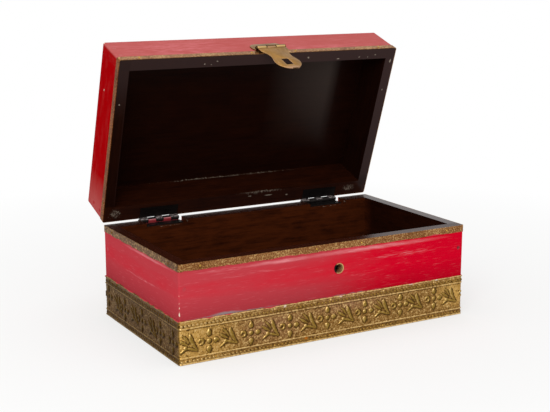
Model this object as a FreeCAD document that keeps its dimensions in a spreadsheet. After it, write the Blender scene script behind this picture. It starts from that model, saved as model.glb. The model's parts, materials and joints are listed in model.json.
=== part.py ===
import FreeCAD, Part
import math
import os
import re
import Sketcher

# Wooden jewellery box with an embossed brass band, a hinged lid and a hasp.
# Millimetres and degrees. X runs along the box from left to right, the front faces -Y and +Z is up.
# The origin is the middle of the underside. The lid stands open and the hasp hangs from it.

# Driving dimensions: name, value, what it sizes
SIZES = [
    ("box_length", 300.0, "outside length, left to right"),
    ("box_width", 168.0, "outside width, front to back"),
    ("base_height", 89.0, "table to the base's rim"),
    ("lid_height", 42.0, "lid's rim to its top"),
    ("front_wall", 10.8, "thickness of the front walls"),
    ("back_wall", 15.0, "thickness of the back walls, which carry the hinges"),
    ("end_wall", 10.2, "thickness of the left and right walls"),
    ("bottom_thickness", 6.0, "thickness of the bottom board"),
    ("top_thickness", 4.5, "thickness of the lid's top board"),
    ("edge_round", 1.5, "radius of the worn outside edges"),
    ("lid_gap", 0.4, "gap between the two rims when shut"),
    ("lid_angle", 71.0, "how far the lid stands open"),
    ("strip_height", 6.5, "height of the brass strip round each rim"),
    ("strip_thickness", 0.5, "thickness of that strip"),
    ("strip_seam_x", 9.0, "where the two lengths of strip meet"),
    ("seam_gap", 0.3, "gap left between two sheets that meet"),
    ("band_top", 39.4, "table to the band's upper edge"),
    ("band_lift", 0.4, "table to the band's lower edge"),
    ("band_thickness", 0.6, "thickness of the band's sheet"),
    ("band_return", 21.5, "how far a long sheet turns onto the end walls"),
    ("upper_border", 7.2, "height of the band's upper border"),
    ("lower_border", 5.6, "height of the band's lower border"),
    ("ridge_height", 1.2, "height of the raised lines beside the borders"),
    ("ridge_rise", 0.5, "how far those lines stand out from the sheet"),
    ("hinge_inset", 58.0, "end of the box to a hinge's middle"),
    ("hinge_length", 40.0, "length of a hinge"),
    ("hinge_leaf", 11.0, "how far a leaf reaches onto the rim"),
    ("leaf_thickness", 1.3, "thickness of a hinge leaf"),
    ("hinge_offset", 2.6, "hinge axis behind the back face"),
    ("knuckle_radius", 2.9, "outside radius of a hinge's barrel"),
    ("knuckle_gap", 0.3, "gap between two knuckles"),
    ("hinge_pin_radius", 1.25, "radius of a hinge pin"),
    ("pin_head_radius", 1.9, "radius of a pin's peened heads"),
    ("pin_head_height", 0.9, "height of those heads"),
    ("fit_clearance", 0.05, "radial clearance of pins, screws and nails"),
    ("mortise_clearance", 0.25, "room beside a leaf in its mortise"),
    ("notch_width", 3.2, "how far the base's cut for a hinge overruns it on the right"),
    ("screw_head_radius", 2.3, "radius of a screw's head"),
    ("screw_radius", 1.1, "radius of a screw's shank"),
    ("screw_length", 9.0, "length of a screw's shank below the metal"),
    ("screw_pitch", 22.0, "distance between the two screws of a leaf"),
    ("driver_slot_width", 0.6, "width of the slot in a screw's head"),
    ("driver_slot_depth", 0.6, "depth of that slot"),
    ("nail_radius", 0.9, "radius of a wood nail"),
    ("nail_head_radius", 1.8, "radius of its flush head"),
    ("nail_head_height", 0.6, "height of that head"),
    ("wall_nail_length", 30.0, "length of the nails through the walls"),
    ("board_nail_length", 22.0, "length of the nails through the boards"),
    ("nail_inset", 22.0, "wall nails from a base wall's upper and lower edge"),
    ("lid_nail_inset", 11.0, "wall nails from a lid wall's upper and lower edge"),
    ("board_nail_inset", 45.0, "board nails from the ends of a long wall"),
    ("brass_pin_radius", 0.6, "radius of a brass pin"),
    ("brass_head_radius", 1.1, "radius of its head"),
    ("brass_head_height", 0.7, "height of that head"),
    ("brass_pin_length", 6.5, "length of the pin below its head"),
    ("band_pin_inset", 34.0, "the band's first and last pin from the ends of a long side"),
    ("band_pin_drop", 2.6, "the band's upper edge to its upper pins"),
    ("strip_pin_inset", 20.0, "a strip's pins from the box's corners"),
    ("strip_pin_middle", 24.0, "a strip's pins from the seam, front and back"),
    ("hasp_x", 7.3, "middle of the hasp, right of the box's middle"),
    ("hasp_tilt", 3.0, "how far the hasp sits askew on the lid's front"),
    ("hasp_width", 31.0, "length of the hasp's barrel"),
    ("hasp_offset", 3.4, "hasp's axis in front of the lid's face"),
    ("hasp_rise", 7.8, "hasp's axis above the lid's rim"),
    ("hasp_hang", 3.8, "how far the plate leans in from the lid's face"),
    ("hasp_barrel_radius", 1.9, "outside radius of the hasp's barrel"),
    ("hasp_pin_radius", 0.9, "radius of the hasp's pin"),
    ("hasp_leaf_thickness", 1.1, "thickness of the fixed leaf"),
    ("hasp_leaf_width", 35.0, "length of the fixed leaf along the barrel"),
    ("hasp_leaf_height", 13.2, "fixed leaf above the axis"),
    ("hasp_leaf_round", 5.8, "radius of the fixed leaf's corners"),
    ("hasp_screw_rise", 7.6, "screws in the fixed leaf above the axis"),
    ("hasp_screw_pitch", 25.0, "distance between those screws"),
    ("plate_thickness", 0.9, "thickness of the swinging plate"),
    ("plate_offset", 0.3, "plate's middle in front of the axis"),
    ("plate_width", 30.6, "width of the plate at its root"),
    ("plate_side", 8.9, "axis to the end of the plate's straight sides"),
    ("waist_radius", 17.0, "radius of the hollow sides"),
    ("shoulder_drop", 26.3, "axis to where the hollow meets the round end"),
    ("lobe_drop", 31.5, "axis to the middle of the round end"),
    ("lobe_radius", 13.6, "radius of the round end"),
    ("slot_drop", 31.2, "axis to the middle of the slot"),
    ("slot_width", 7.6, "width of the slot"),
    ("slot_length", 11.8, "length of the slot"),
    ("lip_drop", 44.6, "axis to where the lip starts to curl"),
    ("lip_width", 7.0, "width of the finger lip"),
    ("lip_radius", 2.6, "radius of its curl"),
    ("socket_radius", 5.0, "outside radius of the staple's socket"),
    ("socket_bore", 4.0, "radius of the hole in the socket"),
    ("socket_drop", 1.2, "socket's middle below the slot's middle when shut"),
    ("socket_stand", 0.5, "how far the socket stands out from the wall"),
]

# Counts that shape the layout
HINGE_KNUCKLES = 5
BASE_KNUCKLES = (1, 3)
LID_KNUCKLES = (0, 2, 4)
HASP_KNUCKLES = 3
BAND_PIN_GAPS = 4

# Places that several pieces share, as expressions of the sizes
HALF_LENGTH = "box_length / 2"
HALF_WIDTH = "box_width / 2"
LEFT_HINGE = "hinge_inset - box_length / 2"
RIGHT_HINGE = "box_length / 2 - hinge_inset"
# The hinges' leaves roll on flush with the barrel, so each leaf's face lies this far from the axis
LEAF_FACE = "(knuckle_radius - leaf_thickness)"
HINGE_Y = "box_width / 2 + hinge_offset"
HINGE_Z = f"base_height + lid_gap - {LEAF_FACE}"
# The base's cuts take a hinge's whole thickness below the rim
HINGE_CUT = f"knuckle_radius + {LEAF_FACE} - lid_gap"
SOCKET_X = "hasp_x + slot_drop * sin(hasp_tilt)"
SOCKET_Z = "base_height + lid_gap + hasp_rise - slot_drop * cos(hasp_tilt) - socket_drop"
# Places on the lid, measured from the hinge axis with the lid shut
LID_BACK = "-hinge_offset"
LID_MIDDLE = "-(hinge_offset + box_width / 2)"
LID_FRONT = "-(hinge_offset + box_width)"
LID_RIM = LEAF_FACE
LID_TOP = f"{LID_RIM} + lid_height"
LID_WALL = "(lid_height - top_thickness)"
HASP_Y = "-(hinge_offset + box_width + hasp_offset)"
HASP_Z = f"{LID_RIM} + hasp_rise"

document = FreeCAD.newDocument("jewellery_box")
sheet = document.addObject("Spreadsheet::Sheet", "sizes")
for number, (name, size, meaning) in enumerate(SIZES, 1):
    sheet.set(f"A{number}", name)
    sheet.set(f"B{number}", str(size))
    sheet.setAlias(f"B{number}", name)
    sheet.set(f"C{number}", meaning)
document.recompute()
NAMES = {name for name, size, meaning in SIZES}
subparts = []


class Row:
    """Fasteners driven into one flat face: its plane and level, their centres and the way they point.

    along is True where they point along the plane's normal: +Z for XY, -Y for XZ and +X for YZ.
    """

    def __init__(self, plane, level, centres, along):
        self.plane = plane
        self.level = level
        self.centres = centres
        self.along = along


# Expressions

def bound(text):
    """The expression with each size's name pointing at its cell."""
    return re.sub(r"[a-z_]+", lambda word: cell_of(word.group()), text)


def cell_of(word):
    return "sizes." + word if word in NAMES else word


def number_of(text):
    """The expression's value now, to draw a sketch near its final shape."""
    result = sheet.evalExpression(bound(text))
    return float(getattr(result, "Value", result))


# Bodies and sketches

def new_body(label):
    body = document.addObject("PartDesign::Body", label)
    body.Label = label
    subparts.append(body)
    return body


def new_sketch(body, plane, level="0", across="0", up="0"):
    """A sketch on one of the body's own planes, moved along its normal and within itself."""
    support = next(feature for feature in body.Origin.OriginFeatures if feature.Role == plane)
    sketch = body.newObject("Sketcher::SketchObject", body.Label + "_sketch")
    sketch.AttachmentSupport = (support, [""])
    sketch.MapMode = "FlatFace"
    for axis, place in zip("xyz", (across, up, level)):
        sketch.setExpression("AttachmentOffset.Base." + axis, bound(place))
    return sketch


def limit(sketch, kind, *terms):
    """Add a constraint whose last term is an expression."""
    *items, text = terms
    index = sketch.addConstraint(Sketcher.Constraint(kind, *items, number_of(text)))
    sketch.setExpression(f"Constraints[{index}]", bound(text))


def fix_point(sketch, item, end, x, y):
    limit(sketch, "DistanceX", -1, 1, item, end, x)
    limit(sketch, "DistanceY", -1, 1, item, end, y)


def vector(x, y):
    return FreeCAD.Vector(number_of(x), number_of(y), 0)


def draw_line(sketch, start, end):
    return sketch.addGeometry(Part.LineSegment(vector(*start), vector(*end)))


def draw_arc(sketch, centre, radius, start, end):
    """An arc counted against the clock, between two angles in radians."""
    circle = Part.Circle(vector(*centre), FreeCAD.Vector(0, 0, 1), number_of(radius))
    return sketch.addGeometry(Part.ArcOfCircle(circle, start, end))


def join(sketch, first, first_end, second, second_end):
    sketch.addConstraint(Sketcher.Constraint("Coincident", first, first_end, second, second_end))


def draw_circle(sketch, x, y, radius):
    centre = vector(x, y)
    item = sketch.addGeometry(Part.Circle(centre, FreeCAD.Vector(0, 0, 1), number_of(radius)))
    fix_point(sketch, item, 3, x, y)
    limit(sketch, "Radius", item, radius)


def draw_rectangle(sketch, x, y, width, height):
    """A rectangle from its lower left corner."""
    right = f"({x}) + ({width})"
    upper = f"({y}) + ({height})"
    corners = [(x, y), (right, y), (right, upper), (x, upper)]
    sides = [draw_line(sketch, corners[n], corners[(n + 1) % 4]) for n in range(4)]
    for n in range(4):
        join(sketch, sides[n], 2, sides[(n + 1) % 4], 1)
    for side in (sides[0], sides[2]):
        sketch.addConstraint(Sketcher.Constraint("Horizontal", side))
    for side in (sides[1], sides[3]):
        sketch.addConstraint(Sketcher.Constraint("Vertical", side))
    fix_point(sketch, sides[0], 1, x, y)
    limit(sketch, "DistanceX", sides[0], 1, sides[0], 2, width)
    limit(sketch, "DistanceY", sides[1], 1, sides[1], 2, height)


def draw_rounded_rectangle(sketch, width, height, radius):
    """A rectangle with round corners about the sketch's origin."""
    quarter = math.pi / 2
    far_x = f"({width}) / 2"
    far_y = f"({height}) / 2"
    near_x = f"({width}) / 2 - ({radius})"
    near_y = f"({height}) / 2 - ({radius})"
    lines = [
        draw_line(sketch, (f"-({near_x})", f"-({far_y})"), (near_x, f"-({far_y})")),
        draw_line(sketch, (far_x, f"-({near_y})"), (far_x, near_y)),
        draw_line(sketch, (near_x, far_y), (f"-({near_x})", far_y)),
        draw_line(sketch, (f"-({far_x})", near_y), (f"-({far_x})", f"-({near_y})")),
    ]
    centres = [
        (near_x, f"-({near_y})"), (near_x, near_y),
        (f"-({near_x})", near_y), (f"-({near_x})", f"-({near_y})"),
    ]
    arcs = []
    for n, centre in enumerate(centres):
        arcs.append(draw_arc(sketch, centre, radius, (n - 1) * quarter, n * quarter))
    for n in range(4):
        sketch.addConstraint(Sketcher.Constraint("Tangent", lines[n], 2, arcs[n], 1))
        sketch.addConstraint(Sketcher.Constraint("Tangent", arcs[n], 2, lines[(n + 1) % 4], 1))
    for line in (lines[0], lines[2]):
        sketch.addConstraint(Sketcher.Constraint("Horizontal", line))
    for line in (lines[1], lines[3]):
        sketch.addConstraint(Sketcher.Constraint("Vertical", line))
    for arc in arcs[1:]:
        sketch.addConstraint(Sketcher.Constraint("Equal", arcs[0], arc))
    sketch.addConstraint(Sketcher.Constraint("Symmetric", arcs[1], 3, arcs[3], 3, -1, 1))
    limit(sketch, "Radius", arcs[0], radius)
    limit(sketch, "DistanceX", lines[3], 1, lines[1], 1, width)
    limit(sketch, "DistanceY", lines[0], 1, lines[2], 1, height)


# Features

def pad(body, sketch, length, reverse=False, taper=None):
    feature = body.newObject("PartDesign::Pad", body.Label + "_pad")
    feature.Profile = sketch
    feature.Reversed = reverse
    feature.setExpression("Length", bound(length))
    if taper:
        feature.setExpression("TaperAngle", bound(taper))
    document.recompute()
    return feature


def pocket(body, sketch, depth, reverse=False, taper=None):
    """Cut the sketch's areas out of the body, and make sure that something went."""
    volume = body.Shape.Volume
    feature = body.newObject("PartDesign::Pocket", body.Label + "_pocket")
    feature.Profile = sketch
    feature.Reversed = reverse
    feature.setExpression("Length", bound(depth))
    if taper:
        feature.setExpression("TaperAngle", bound(taper))
    document.recompute()
    if body.Shape.Volume > volume - 1e-6:
        raise ValueError("a pocket cut nothing in " + body.Label)
    return feature


def round_edges(body, radius, chosen):
    """Round the edges that the test picks by their two ends."""
    names = []
    for index, edge in enumerate(body.Shape.Edges, 1):
        if len(edge.Vertexes) == 2 and chosen(edge.Vertexes[0].Point, edge.Vertexes[1].Point):
            names.append(f"Edge{index}")
    solid = body.Tip
    feature = body.newObject("PartDesign::Fillet", body.Label + "_fillet")
    feature.Base = (solid, names)
    feature.setExpression("Radius", bound(radius))
    document.recompute()


def upright_at(places):
    """A test for upright edges that stand at any of the places, given as pairs of expressions."""
    points = [(number_of(x), number_of(y)) for x, y in places]

    def test(start, end):
        return any(
            abs(start.x - x) + abs(end.x - x) + abs(start.y - y) + abs(end.y - y) < 0.01 for x, y in points
        )
    return test


def box_board(label, x, y, z, length, width, height):
    """A plain board from its lower left front corner."""
    body = new_body(label)
    sketch = new_sketch(body, "XY_Plane", z)
    draw_rectangle(sketch, x, y, length, width)
    pad(body, sketch, height)
    return body


def put_at(body, x, y, z):
    for axis, place in zip("xyz", (x, y, z)):
        body.setExpression("Placement.Base." + axis, bound(place))


def put_on_lid(body, x="0"):
    """Open a piece with the lid about the hinge axis, about which it was drawn shut."""
    body.Placement = FreeCAD.Placement(FreeCAD.Vector(), FreeCAD.Rotation(FreeCAD.Vector(-1, 0, 0), 1))
    put_at(body, x, HINGE_Y, HINGE_Z)
    body.setExpression("Placement.Rotation.Angle", bound("lid_angle"))


def put_hasp(body, hang="0"):
    """Set a piece of the hasp on the lid: leant in about its axis, tilted on the front and opened."""
    turn = f"(lid_angle - {hang}) / 2"
    back = f"(lid_angle + {hang}) / 2"
    share = f"cos(hasp_tilt / 2) * cos({turn})"
    length = f"sqrt(1 - ({share}) ^ 2)"
    axis = [
        f"-cos(hasp_tilt / 2) * sin({turn}) / {length}",
        f"-sin(hasp_tilt / 2) * cos({back}) / {length}",
        f"sin(hasp_tilt / 2) * sin({back}) / {length}",
    ]
    angle = f"2 * acos({share})"
    start = FreeCAD.Vector(*[number_of(part) for part in axis])
    body.Placement = FreeCAD.Placement(FreeCAD.Vector(), FreeCAD.Rotation(start, number_of(angle)))
    for name, part in zip("xyz", axis):
        body.setExpression("Placement.Rotation.Axis." + name, bound(part))
    body.setExpression("Placement.Rotation.Angle", bound(angle))
    put_at(
        body, "hasp_x", f"{HINGE_Y} + {HASP_Y} * cos(lid_angle) + ({HASP_Z}) * sin(lid_angle)",
        f"{HINGE_Z} - {HASP_Y} * sin(lid_angle) + ({HASP_Z}) * cos(lid_angle)",
    )


# Fasteners

def drill(body, row, radius, depth, taper=None):
    """Holes in a piece for a row of fasteners, from the row's own face."""
    sketch = new_sketch(body, row.plane, row.level)
    for x, y in row.centres:
        draw_circle(sketch, x, y, radius)
    pocket(body, sketch, depth, row.along, taper)


def drill_for_nails(outer, inner, row, length):
    """Holes for nails with sunk heads that go through one board into the next."""
    drill(outer, row, "nail_radius + fit_clearance", length)
    drill(outer, row, "nail_head_radius + fit_clearance", "nail_head_height")
    for body in inner:
        drill(body, row, "nail_radius + fit_clearance", length)


def drive(body, row, radius, length, outward=False, taper=None):
    """Shanks or heads of a row of fasteners."""
    sketch = new_sketch(body, row.plane, row.level)
    for x, y in row.centres:
        draw_circle(sketch, x, y, radius)
    pad(body, sketch, length, row.along == outward, taper)


def nails(label, rows, length):
    body = new_body(label)
    for row in rows:
        drive(body, row, "nail_radius", length)
        drive(body, row, "nail_head_radius", "nail_head_height")
    return body


def brass_pins(label, rows):
    body = new_body(label)
    for row in rows:
        drive(body, row, "brass_pin_radius", "brass_pin_length")
        drive(body, row, "brass_head_radius", "brass_head_height", outward=True)
    return body


def screws(label, row, metal):
    """Countersunk wood screws with a driver's slot, through metal of a given thickness."""
    body = new_body(label)
    drive(body, row, "screw_radius", f"{metal} + screw_length")
    drive(body, row, "screw_head_radius", metal, taper=screw_taper(metal, "screw_head_radius"))
    sketch = new_sketch(body, row.plane, row.level)
    for x, y in row.centres:
        draw_rectangle(
            sketch, f"({x}) - screw_head_radius", f"({y}) - driver_slot_width / 2",
            "2 * screw_head_radius", "driver_slot_width",
        )
    pocket(body, sketch, "driver_slot_depth", row.along)
    return body


def screw_taper(metal, radius):
    return f"-atan(({radius} - screw_radius) / {metal})"


def sink_screws(body, row, metal):
    """Countersunk holes through a leaf."""
    drill(body, row, "screw_head_radius + fit_clearance", metal, screw_taper(metal, "screw_head_radius"))


def mirrored(x):
    return [f"-({x})", x]


# Rows of fasteners on the base
end_wall_x = mirrored("box_length / 2 - end_wall / 2")
nail_heights = ["bottom_thickness + nail_inset", "base_height - nail_inset"]
back_wall_y = "box_width / 2 - back_wall / 2"
front_wall_y = "front_wall / 2 - box_width / 2"
front_nail_row = Row("XZ_Plane", HALF_WIDTH, [(x, z) for x in end_wall_x for z in nail_heights], False)
left_nail_row = Row("YZ_Plane", f"-{HALF_LENGTH}", [(back_wall_y, z) for z in nail_heights], True)
right_nail_row = Row("YZ_Plane", HALF_LENGTH, [(back_wall_y, z) for z in nail_heights], False)
nail_span = "(box_length / 2 - board_nail_inset)"
long_nail_x = mirrored(nail_span) + mirrored(f"{nail_span} / 3")
front_board_row = Row("XY_Plane", "0", [(x, front_wall_y) for x in long_nail_x], True)
back_board_row = Row("XY_Plane", "0", [(x, back_wall_y) for x in long_nail_x], True)
left_board_row = Row("XY_Plane", "0", [(end_wall_x[0], y) for y in mirrored("box_width / 6")], True)
right_board_row = Row("XY_Plane", "0", [(end_wall_x[1], y) for y in mirrored("box_width / 6")], True)

border_rows = ["band_top - band_pin_drop", "band_lift + lower_border / 2"]
pin_span = "(box_length / 2 - band_pin_inset)"
long_pin_x = [f"({2 * step} / {BAND_PIN_GAPS} - 1) * {pin_span}" for step in range(BAND_PIN_GAPS + 1)]
return_y = mirrored("box_width / 2 - band_return / 2")
sheet_end_y = mirrored("box_width / 2 - band_return - upper_border")
band_face = "+ band_thickness"
long_pin_places = [(x, z) for x in long_pin_x for z in border_rows]
band_front_row = Row("XZ_Plane", HALF_WIDTH + band_face, long_pin_places, False)
band_back_row = Row("XZ_Plane", f"-({HALF_WIDTH} {band_face})", band_front_row.centres, True)
side_pin_places = [(y, z) for y in return_y + sheet_end_y for z in border_rows]
band_left_row = Row("YZ_Plane", f"-({HALF_LENGTH} {band_face})", side_pin_places, True)
band_right_row = Row("YZ_Plane", HALF_LENGTH + band_face, side_pin_places, False)

strip_face = "+ strip_thickness"
strip_pin_x = mirrored("box_length / 2 - strip_pin_inset")
strip_pin_x += ["strip_seam_x - strip_pin_middle", "strip_seam_x + strip_pin_middle"]
strip_pin_y = mirrored("box_width / 2 - strip_pin_inset")
strip_pin_z = "base_height - strip_height / 2"
strip_front_row = Row("XZ_Plane", HALF_WIDTH + strip_face, [(x, strip_pin_z) for x in strip_pin_x], False)
strip_back_row = Row("XZ_Plane", f"-({HALF_WIDTH} {strip_face})", strip_front_row.centres, True)
strip_end_places = [(y, strip_pin_z) for y in strip_pin_y]
strip_left_row = Row("YZ_Plane", f"-({HALF_LENGTH} {strip_face})", strip_end_places, True)
strip_right_row = Row("YZ_Plane", HALF_LENGTH + strip_face, strip_end_places, False)

hinge_screw_x = []
for middle in (LEFT_HINGE, RIGHT_HINGE):
    hinge_screw_x += [f"{middle} - screw_pitch / 2", f"{middle} + screw_pitch / 2"]
base_screw_y = "box_width / 2 - hinge_leaf / 2"
base_screw_row = Row(
    "XY_Plane", f"{HINGE_Z} - {LEAF_FACE}", [(x, base_screw_y) for x in hinge_screw_x], False,
)

# Rows of fasteners on the lid, measured from the hinge axis
lid_nail_heights = [f"{LID_RIM} + lid_nail_inset", f"{LID_RIM} + {LID_WALL} - lid_nail_inset"]
lid_back_y = "-(hinge_offset + back_wall / 2)"
lid_front_y = "-(hinge_offset + box_width - front_wall / 2)"
lid_front_nail_row = Row(
    "XZ_Plane", "hinge_offset + box_width", [(x, z) for x in end_wall_x for z in lid_nail_heights], False,
)
lid_left_nail_row = Row("YZ_Plane", f"-{HALF_LENGTH}", [(lid_back_y, z) for z in lid_nail_heights], True)
lid_right_nail_row = Row("YZ_Plane", HALF_LENGTH, [(lid_back_y, z) for z in lid_nail_heights], False)
lid_side_y = [f"{LID_MIDDLE} + {side} * box_width / 6" for side in (-1, 1)]
lid_front_board_row = Row("XY_Plane", LID_TOP, [(x, lid_front_y) for x in long_nail_x], False)
lid_back_board_row = Row("XY_Plane", LID_TOP, [(x, lid_back_y) for x in long_nail_x], False)
lid_left_board_row = Row("XY_Plane", LID_TOP, [(end_wall_x[0], y) for y in lid_side_y], False)
lid_right_board_row = Row("XY_Plane", LID_TOP, [(end_wall_x[1], y) for y in lid_side_y], False)

lid_pin_z = f"{LID_RIM} + strip_height / 2"
lid_pin_y = [f"{LID_MIDDLE} + {side} * (box_width / 2 - strip_pin_inset)" for side in (-1, 1)]
lid_strip_front_row = Row(
    "XZ_Plane", "hinge_offset + box_width + strip_thickness", [(x, lid_pin_z) for x in strip_pin_x], False,
)
lid_strip_back_row = Row("XZ_Plane", "hinge_offset - strip_thickness", lid_strip_front_row.centres, True)
lid_strip_left_row = Row(
    "YZ_Plane", f"-({HALF_LENGTH} {strip_face})", [(y, lid_pin_z) for y in lid_pin_y], True,
)
lid_strip_right_row = Row("YZ_Plane", HALF_LENGTH + strip_face, lid_strip_left_row.centres, False)
lid_screw_y = "-(hinge_offset + hinge_leaf / 2)"
lid_screw_row = Row("XY_Plane", LID_RIM, [(x, lid_screw_y) for x in hinge_screw_x], True)

hasp_screw_x = mirrored("hasp_screw_pitch / 2")
hasp_screw_row = Row(
    "XZ_Plane", "hasp_leaf_thickness - hasp_offset", [(x, "hasp_screw_rise") for x in hasp_screw_x], False,
)
lid_hasp_places = []
for x in hasp_screw_x:
    lid_hasp_places.append((
        f"hasp_x + ({x}) * cos(hasp_tilt) - hasp_screw_rise * sin(hasp_tilt)",
        f"{HASP_Z} + ({x}) * sin(hasp_tilt) + hasp_screw_rise * cos(hasp_tilt)",
    ))
lid_hasp_row = Row("XZ_Plane", "hinge_offset + box_width", lid_hasp_places, False)


# Wooden boards of the base

def base_boards():
    wall_height = "base_height - bottom_thickness"
    inner_length = "box_length - 2 * end_wall"
    side_width = "box_width - front_wall"
    side_y = "front_wall - box_width / 2"
    left_x = f"-{HALF_LENGTH}"
    right_x = "box_length / 2 - end_wall"
    front_y = f"-{HALF_WIDTH}"
    front = box_board(
        "base_front_wall", left_x, front_y, "bottom_thickness", "box_length", "front_wall", wall_height,
    )
    round_edges(front, "edge_round", upright_at([(left_x, front_y), (HALF_LENGTH, front_y)]))
    back = box_board(
        "base_back_wall", f"end_wall - {HALF_LENGTH}", "box_width / 2 - back_wall", "bottom_thickness",
        inner_length, "back_wall", wall_height,
    )
    left = box_board(
        "base_left_wall", left_x, side_y, "bottom_thickness", "end_wall", side_width, wall_height,
    )
    round_edges(left, "edge_round", upright_at([(left_x, HALF_WIDTH)]))
    right = box_board(
        "base_right_wall", right_x, side_y, "bottom_thickness", "end_wall", side_width, wall_height,
    )
    round_edges(right, "edge_round", upright_at([(HALF_LENGTH, HALF_WIDTH)]))
    bottom = new_body("base_bottom_board")
    sketch = new_sketch(bottom, "XY_Plane")
    draw_rounded_rectangle(sketch, "box_length", "box_width", "edge_round")
    pad(bottom, sketch, "bottom_thickness")

    drill_for_nails(front, (left, right), front_nail_row, "wall_nail_length")
    drill_for_nails(left, (back,), left_nail_row, "wall_nail_length")
    drill_for_nails(right, (back,), right_nail_row, "wall_nail_length")
    board_rows = [
        (front_board_row, front), (back_board_row, back),
        (left_board_row, left), (right_board_row, right),
    ]
    for row, wall in board_rows:
        drill_for_nails(bottom, (wall,), row, "board_nail_length")
    nails("base_wall_nails", [front_nail_row, left_nail_row, right_nail_row], "wall_nail_length")
    nails("base_bottom_nails", [row for row, wall in board_rows], "board_nail_length")

    pin_hole = "brass_pin_radius + fit_clearance"
    band_rows = [
        (band_front_row, front), (band_back_row, back), (band_left_row, left), (band_right_row, right),
    ]
    for row, wall in band_rows:
        drill(wall, row, pin_hole, "brass_pin_length")
        drill(bottom, row, pin_hole, "brass_pin_length")
    # The long sheets' returns and the back sheet's ends are pinned to neighbouring walls too
    drill(front, band_left_row, pin_hole, "brass_pin_length")
    drill(front, band_right_row, pin_hole, "brass_pin_length")
    strip_rows = [
        (strip_front_row, front), (strip_back_row, back),
        (strip_left_row, left), (strip_right_row, right),
    ]
    for row, wall in strip_rows:
        drill(wall, row, pin_hole, "brass_pin_length")
    brass_pins("band_pins", [row for row, wall in band_rows])
    brass_pins("base_rim_pins", [row for row, wall in strip_rows])

    cut_for_hinges(back)
    drill(back, base_screw_row, "screw_radius + fit_clearance", "leaf_thickness + screw_length")
    sketch = new_sketch(front, "XZ_Plane", HALF_WIDTH)
    draw_circle(sketch, SOCKET_X, SOCKET_Z, "socket_radius")
    pocket(front, sketch, "front_wall")


def cut_for_hinges(body):
    """Room for the two hinges in the base's back wall or strip, sawn right across and a little long."""
    sketch = new_sketch(body, "XY_Plane", "base_height")
    for middle in (LEFT_HINGE, RIGHT_HINGE):
        draw_rectangle(
            sketch, f"{middle} - hinge_length / 2 - mortise_clearance", "box_width / 2 - 2 * back_wall",
            "hinge_length + 2 * mortise_clearance + notch_width", "3 * back_wall",
        )
    pocket(body, sketch, HINGE_CUT)


def cut_mortises(body):
    """Room for the two hinge leaves in the lid's back wall or strip, open at the back."""
    sketch = new_sketch(body, "XY_Plane", LID_RIM)
    for middle in (LEFT_HINGE, RIGHT_HINGE):
        draw_rectangle(
            sketch, f"{middle} - hinge_length / 2 - mortise_clearance",
            "-(hinge_offset + hinge_leaf + mortise_clearance)",
            "hinge_length + 2 * mortise_clearance", "hinge_leaf + hinge_offset + mortise_clearance",
        )
    pocket(body, sketch, "leaf_thickness", True)


# Wooden boards of the lid

def lid_boards():
    inner_length = "box_length - 2 * end_wall"
    side_width = "box_width - front_wall"
    side_y = "front_wall - hinge_offset - box_width"
    left_x = f"-{HALF_LENGTH}"
    right_x = "box_length / 2 - end_wall"
    front = box_board("lid_front_wall", left_x, LID_FRONT, LID_RIM, "box_length", "front_wall", LID_WALL)
    round_edges(front, "edge_round", upright_at([(left_x, LID_FRONT), (HALF_LENGTH, LID_FRONT)]))
    back = box_board(
        "lid_back_wall", f"end_wall - {HALF_LENGTH}", "-(hinge_offset + back_wall)", LID_RIM,
        inner_length, "back_wall", LID_WALL,
    )
    left = box_board("lid_left_wall", left_x, side_y, LID_RIM, "end_wall", side_width, LID_WALL)
    round_edges(left, "edge_round", upright_at([(left_x, LID_BACK)]))
    right = box_board("lid_right_wall", right_x, side_y, LID_RIM, "end_wall", side_width, LID_WALL)
    round_edges(right, "edge_round", upright_at([(HALF_LENGTH, LID_BACK)]))
    top = new_body("lid_top_board")
    sketch = new_sketch(top, "XY_Plane", f"{LID_RIM} + {LID_WALL}", "0", LID_MIDDLE)
    draw_rounded_rectangle(sketch, "box_length", "box_width", "edge_round")
    pad(top, sketch, "top_thickness")
    upper = number_of(LID_TOP)
    round_edges(top, "edge_round", lambda start, end: abs(start.z - upper) + abs(end.z - upper) < 0.01)

    drill_for_nails(front, (left, right), lid_front_nail_row, "wall_nail_length")
    drill_for_nails(left, (back,), lid_left_nail_row, "wall_nail_length")
    drill_for_nails(right, (back,), lid_right_nail_row, "wall_nail_length")
    board_rows = [
        (lid_front_board_row, front), (lid_back_board_row, back),
        (lid_left_board_row, left), (lid_right_board_row, right),
    ]
    for row, wall in board_rows:
        drill_for_nails(top, (wall,), row, "board_nail_length")
    wall_nails = nails(
        "lid_wall_nails", [lid_front_nail_row, lid_left_nail_row, lid_right_nail_row], "wall_nail_length",
    )
    top_nails = nails("lid_top_nails", [row for row, wall in board_rows], "board_nail_length")

    strip_rows = [
        (lid_strip_front_row, front), (lid_strip_back_row, back),
        (lid_strip_left_row, left), (lid_strip_right_row, right),
    ]
    for row, wall in strip_rows:
        drill(wall, row, "brass_pin_radius + fit_clearance", "brass_pin_length")
    rim_pins = brass_pins("lid_rim_pins", [row for row, wall in strip_rows])

    cut_mortises(back)
    drill(back, lid_screw_row, "screw_radius + fit_clearance", "leaf_thickness + screw_length")
    drill(front, lid_hasp_row, "screw_radius + fit_clearance", "screw_length")
    for body in (front, back, left, right, top, wall_nails, top_nails, rim_pins):
        put_on_lid(body)


# Brass sheets

def wrapped_sheet(label, level, middle_y, height, thickness):
    """A sheet bent right round the box, to be cut to its length."""
    body = new_body(label)
    sketch = new_sketch(body, "XY_Plane", level, "0", middle_y)
    draw_rounded_rectangle(
        sketch, f"box_length + 2 * {thickness}", f"box_width + 2 * {thickness}", f"edge_round + {thickness}",
    )
    draw_rounded_rectangle(sketch, "box_length", "box_width", "edge_round")
    pad(body, sketch, height)
    return body


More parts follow.
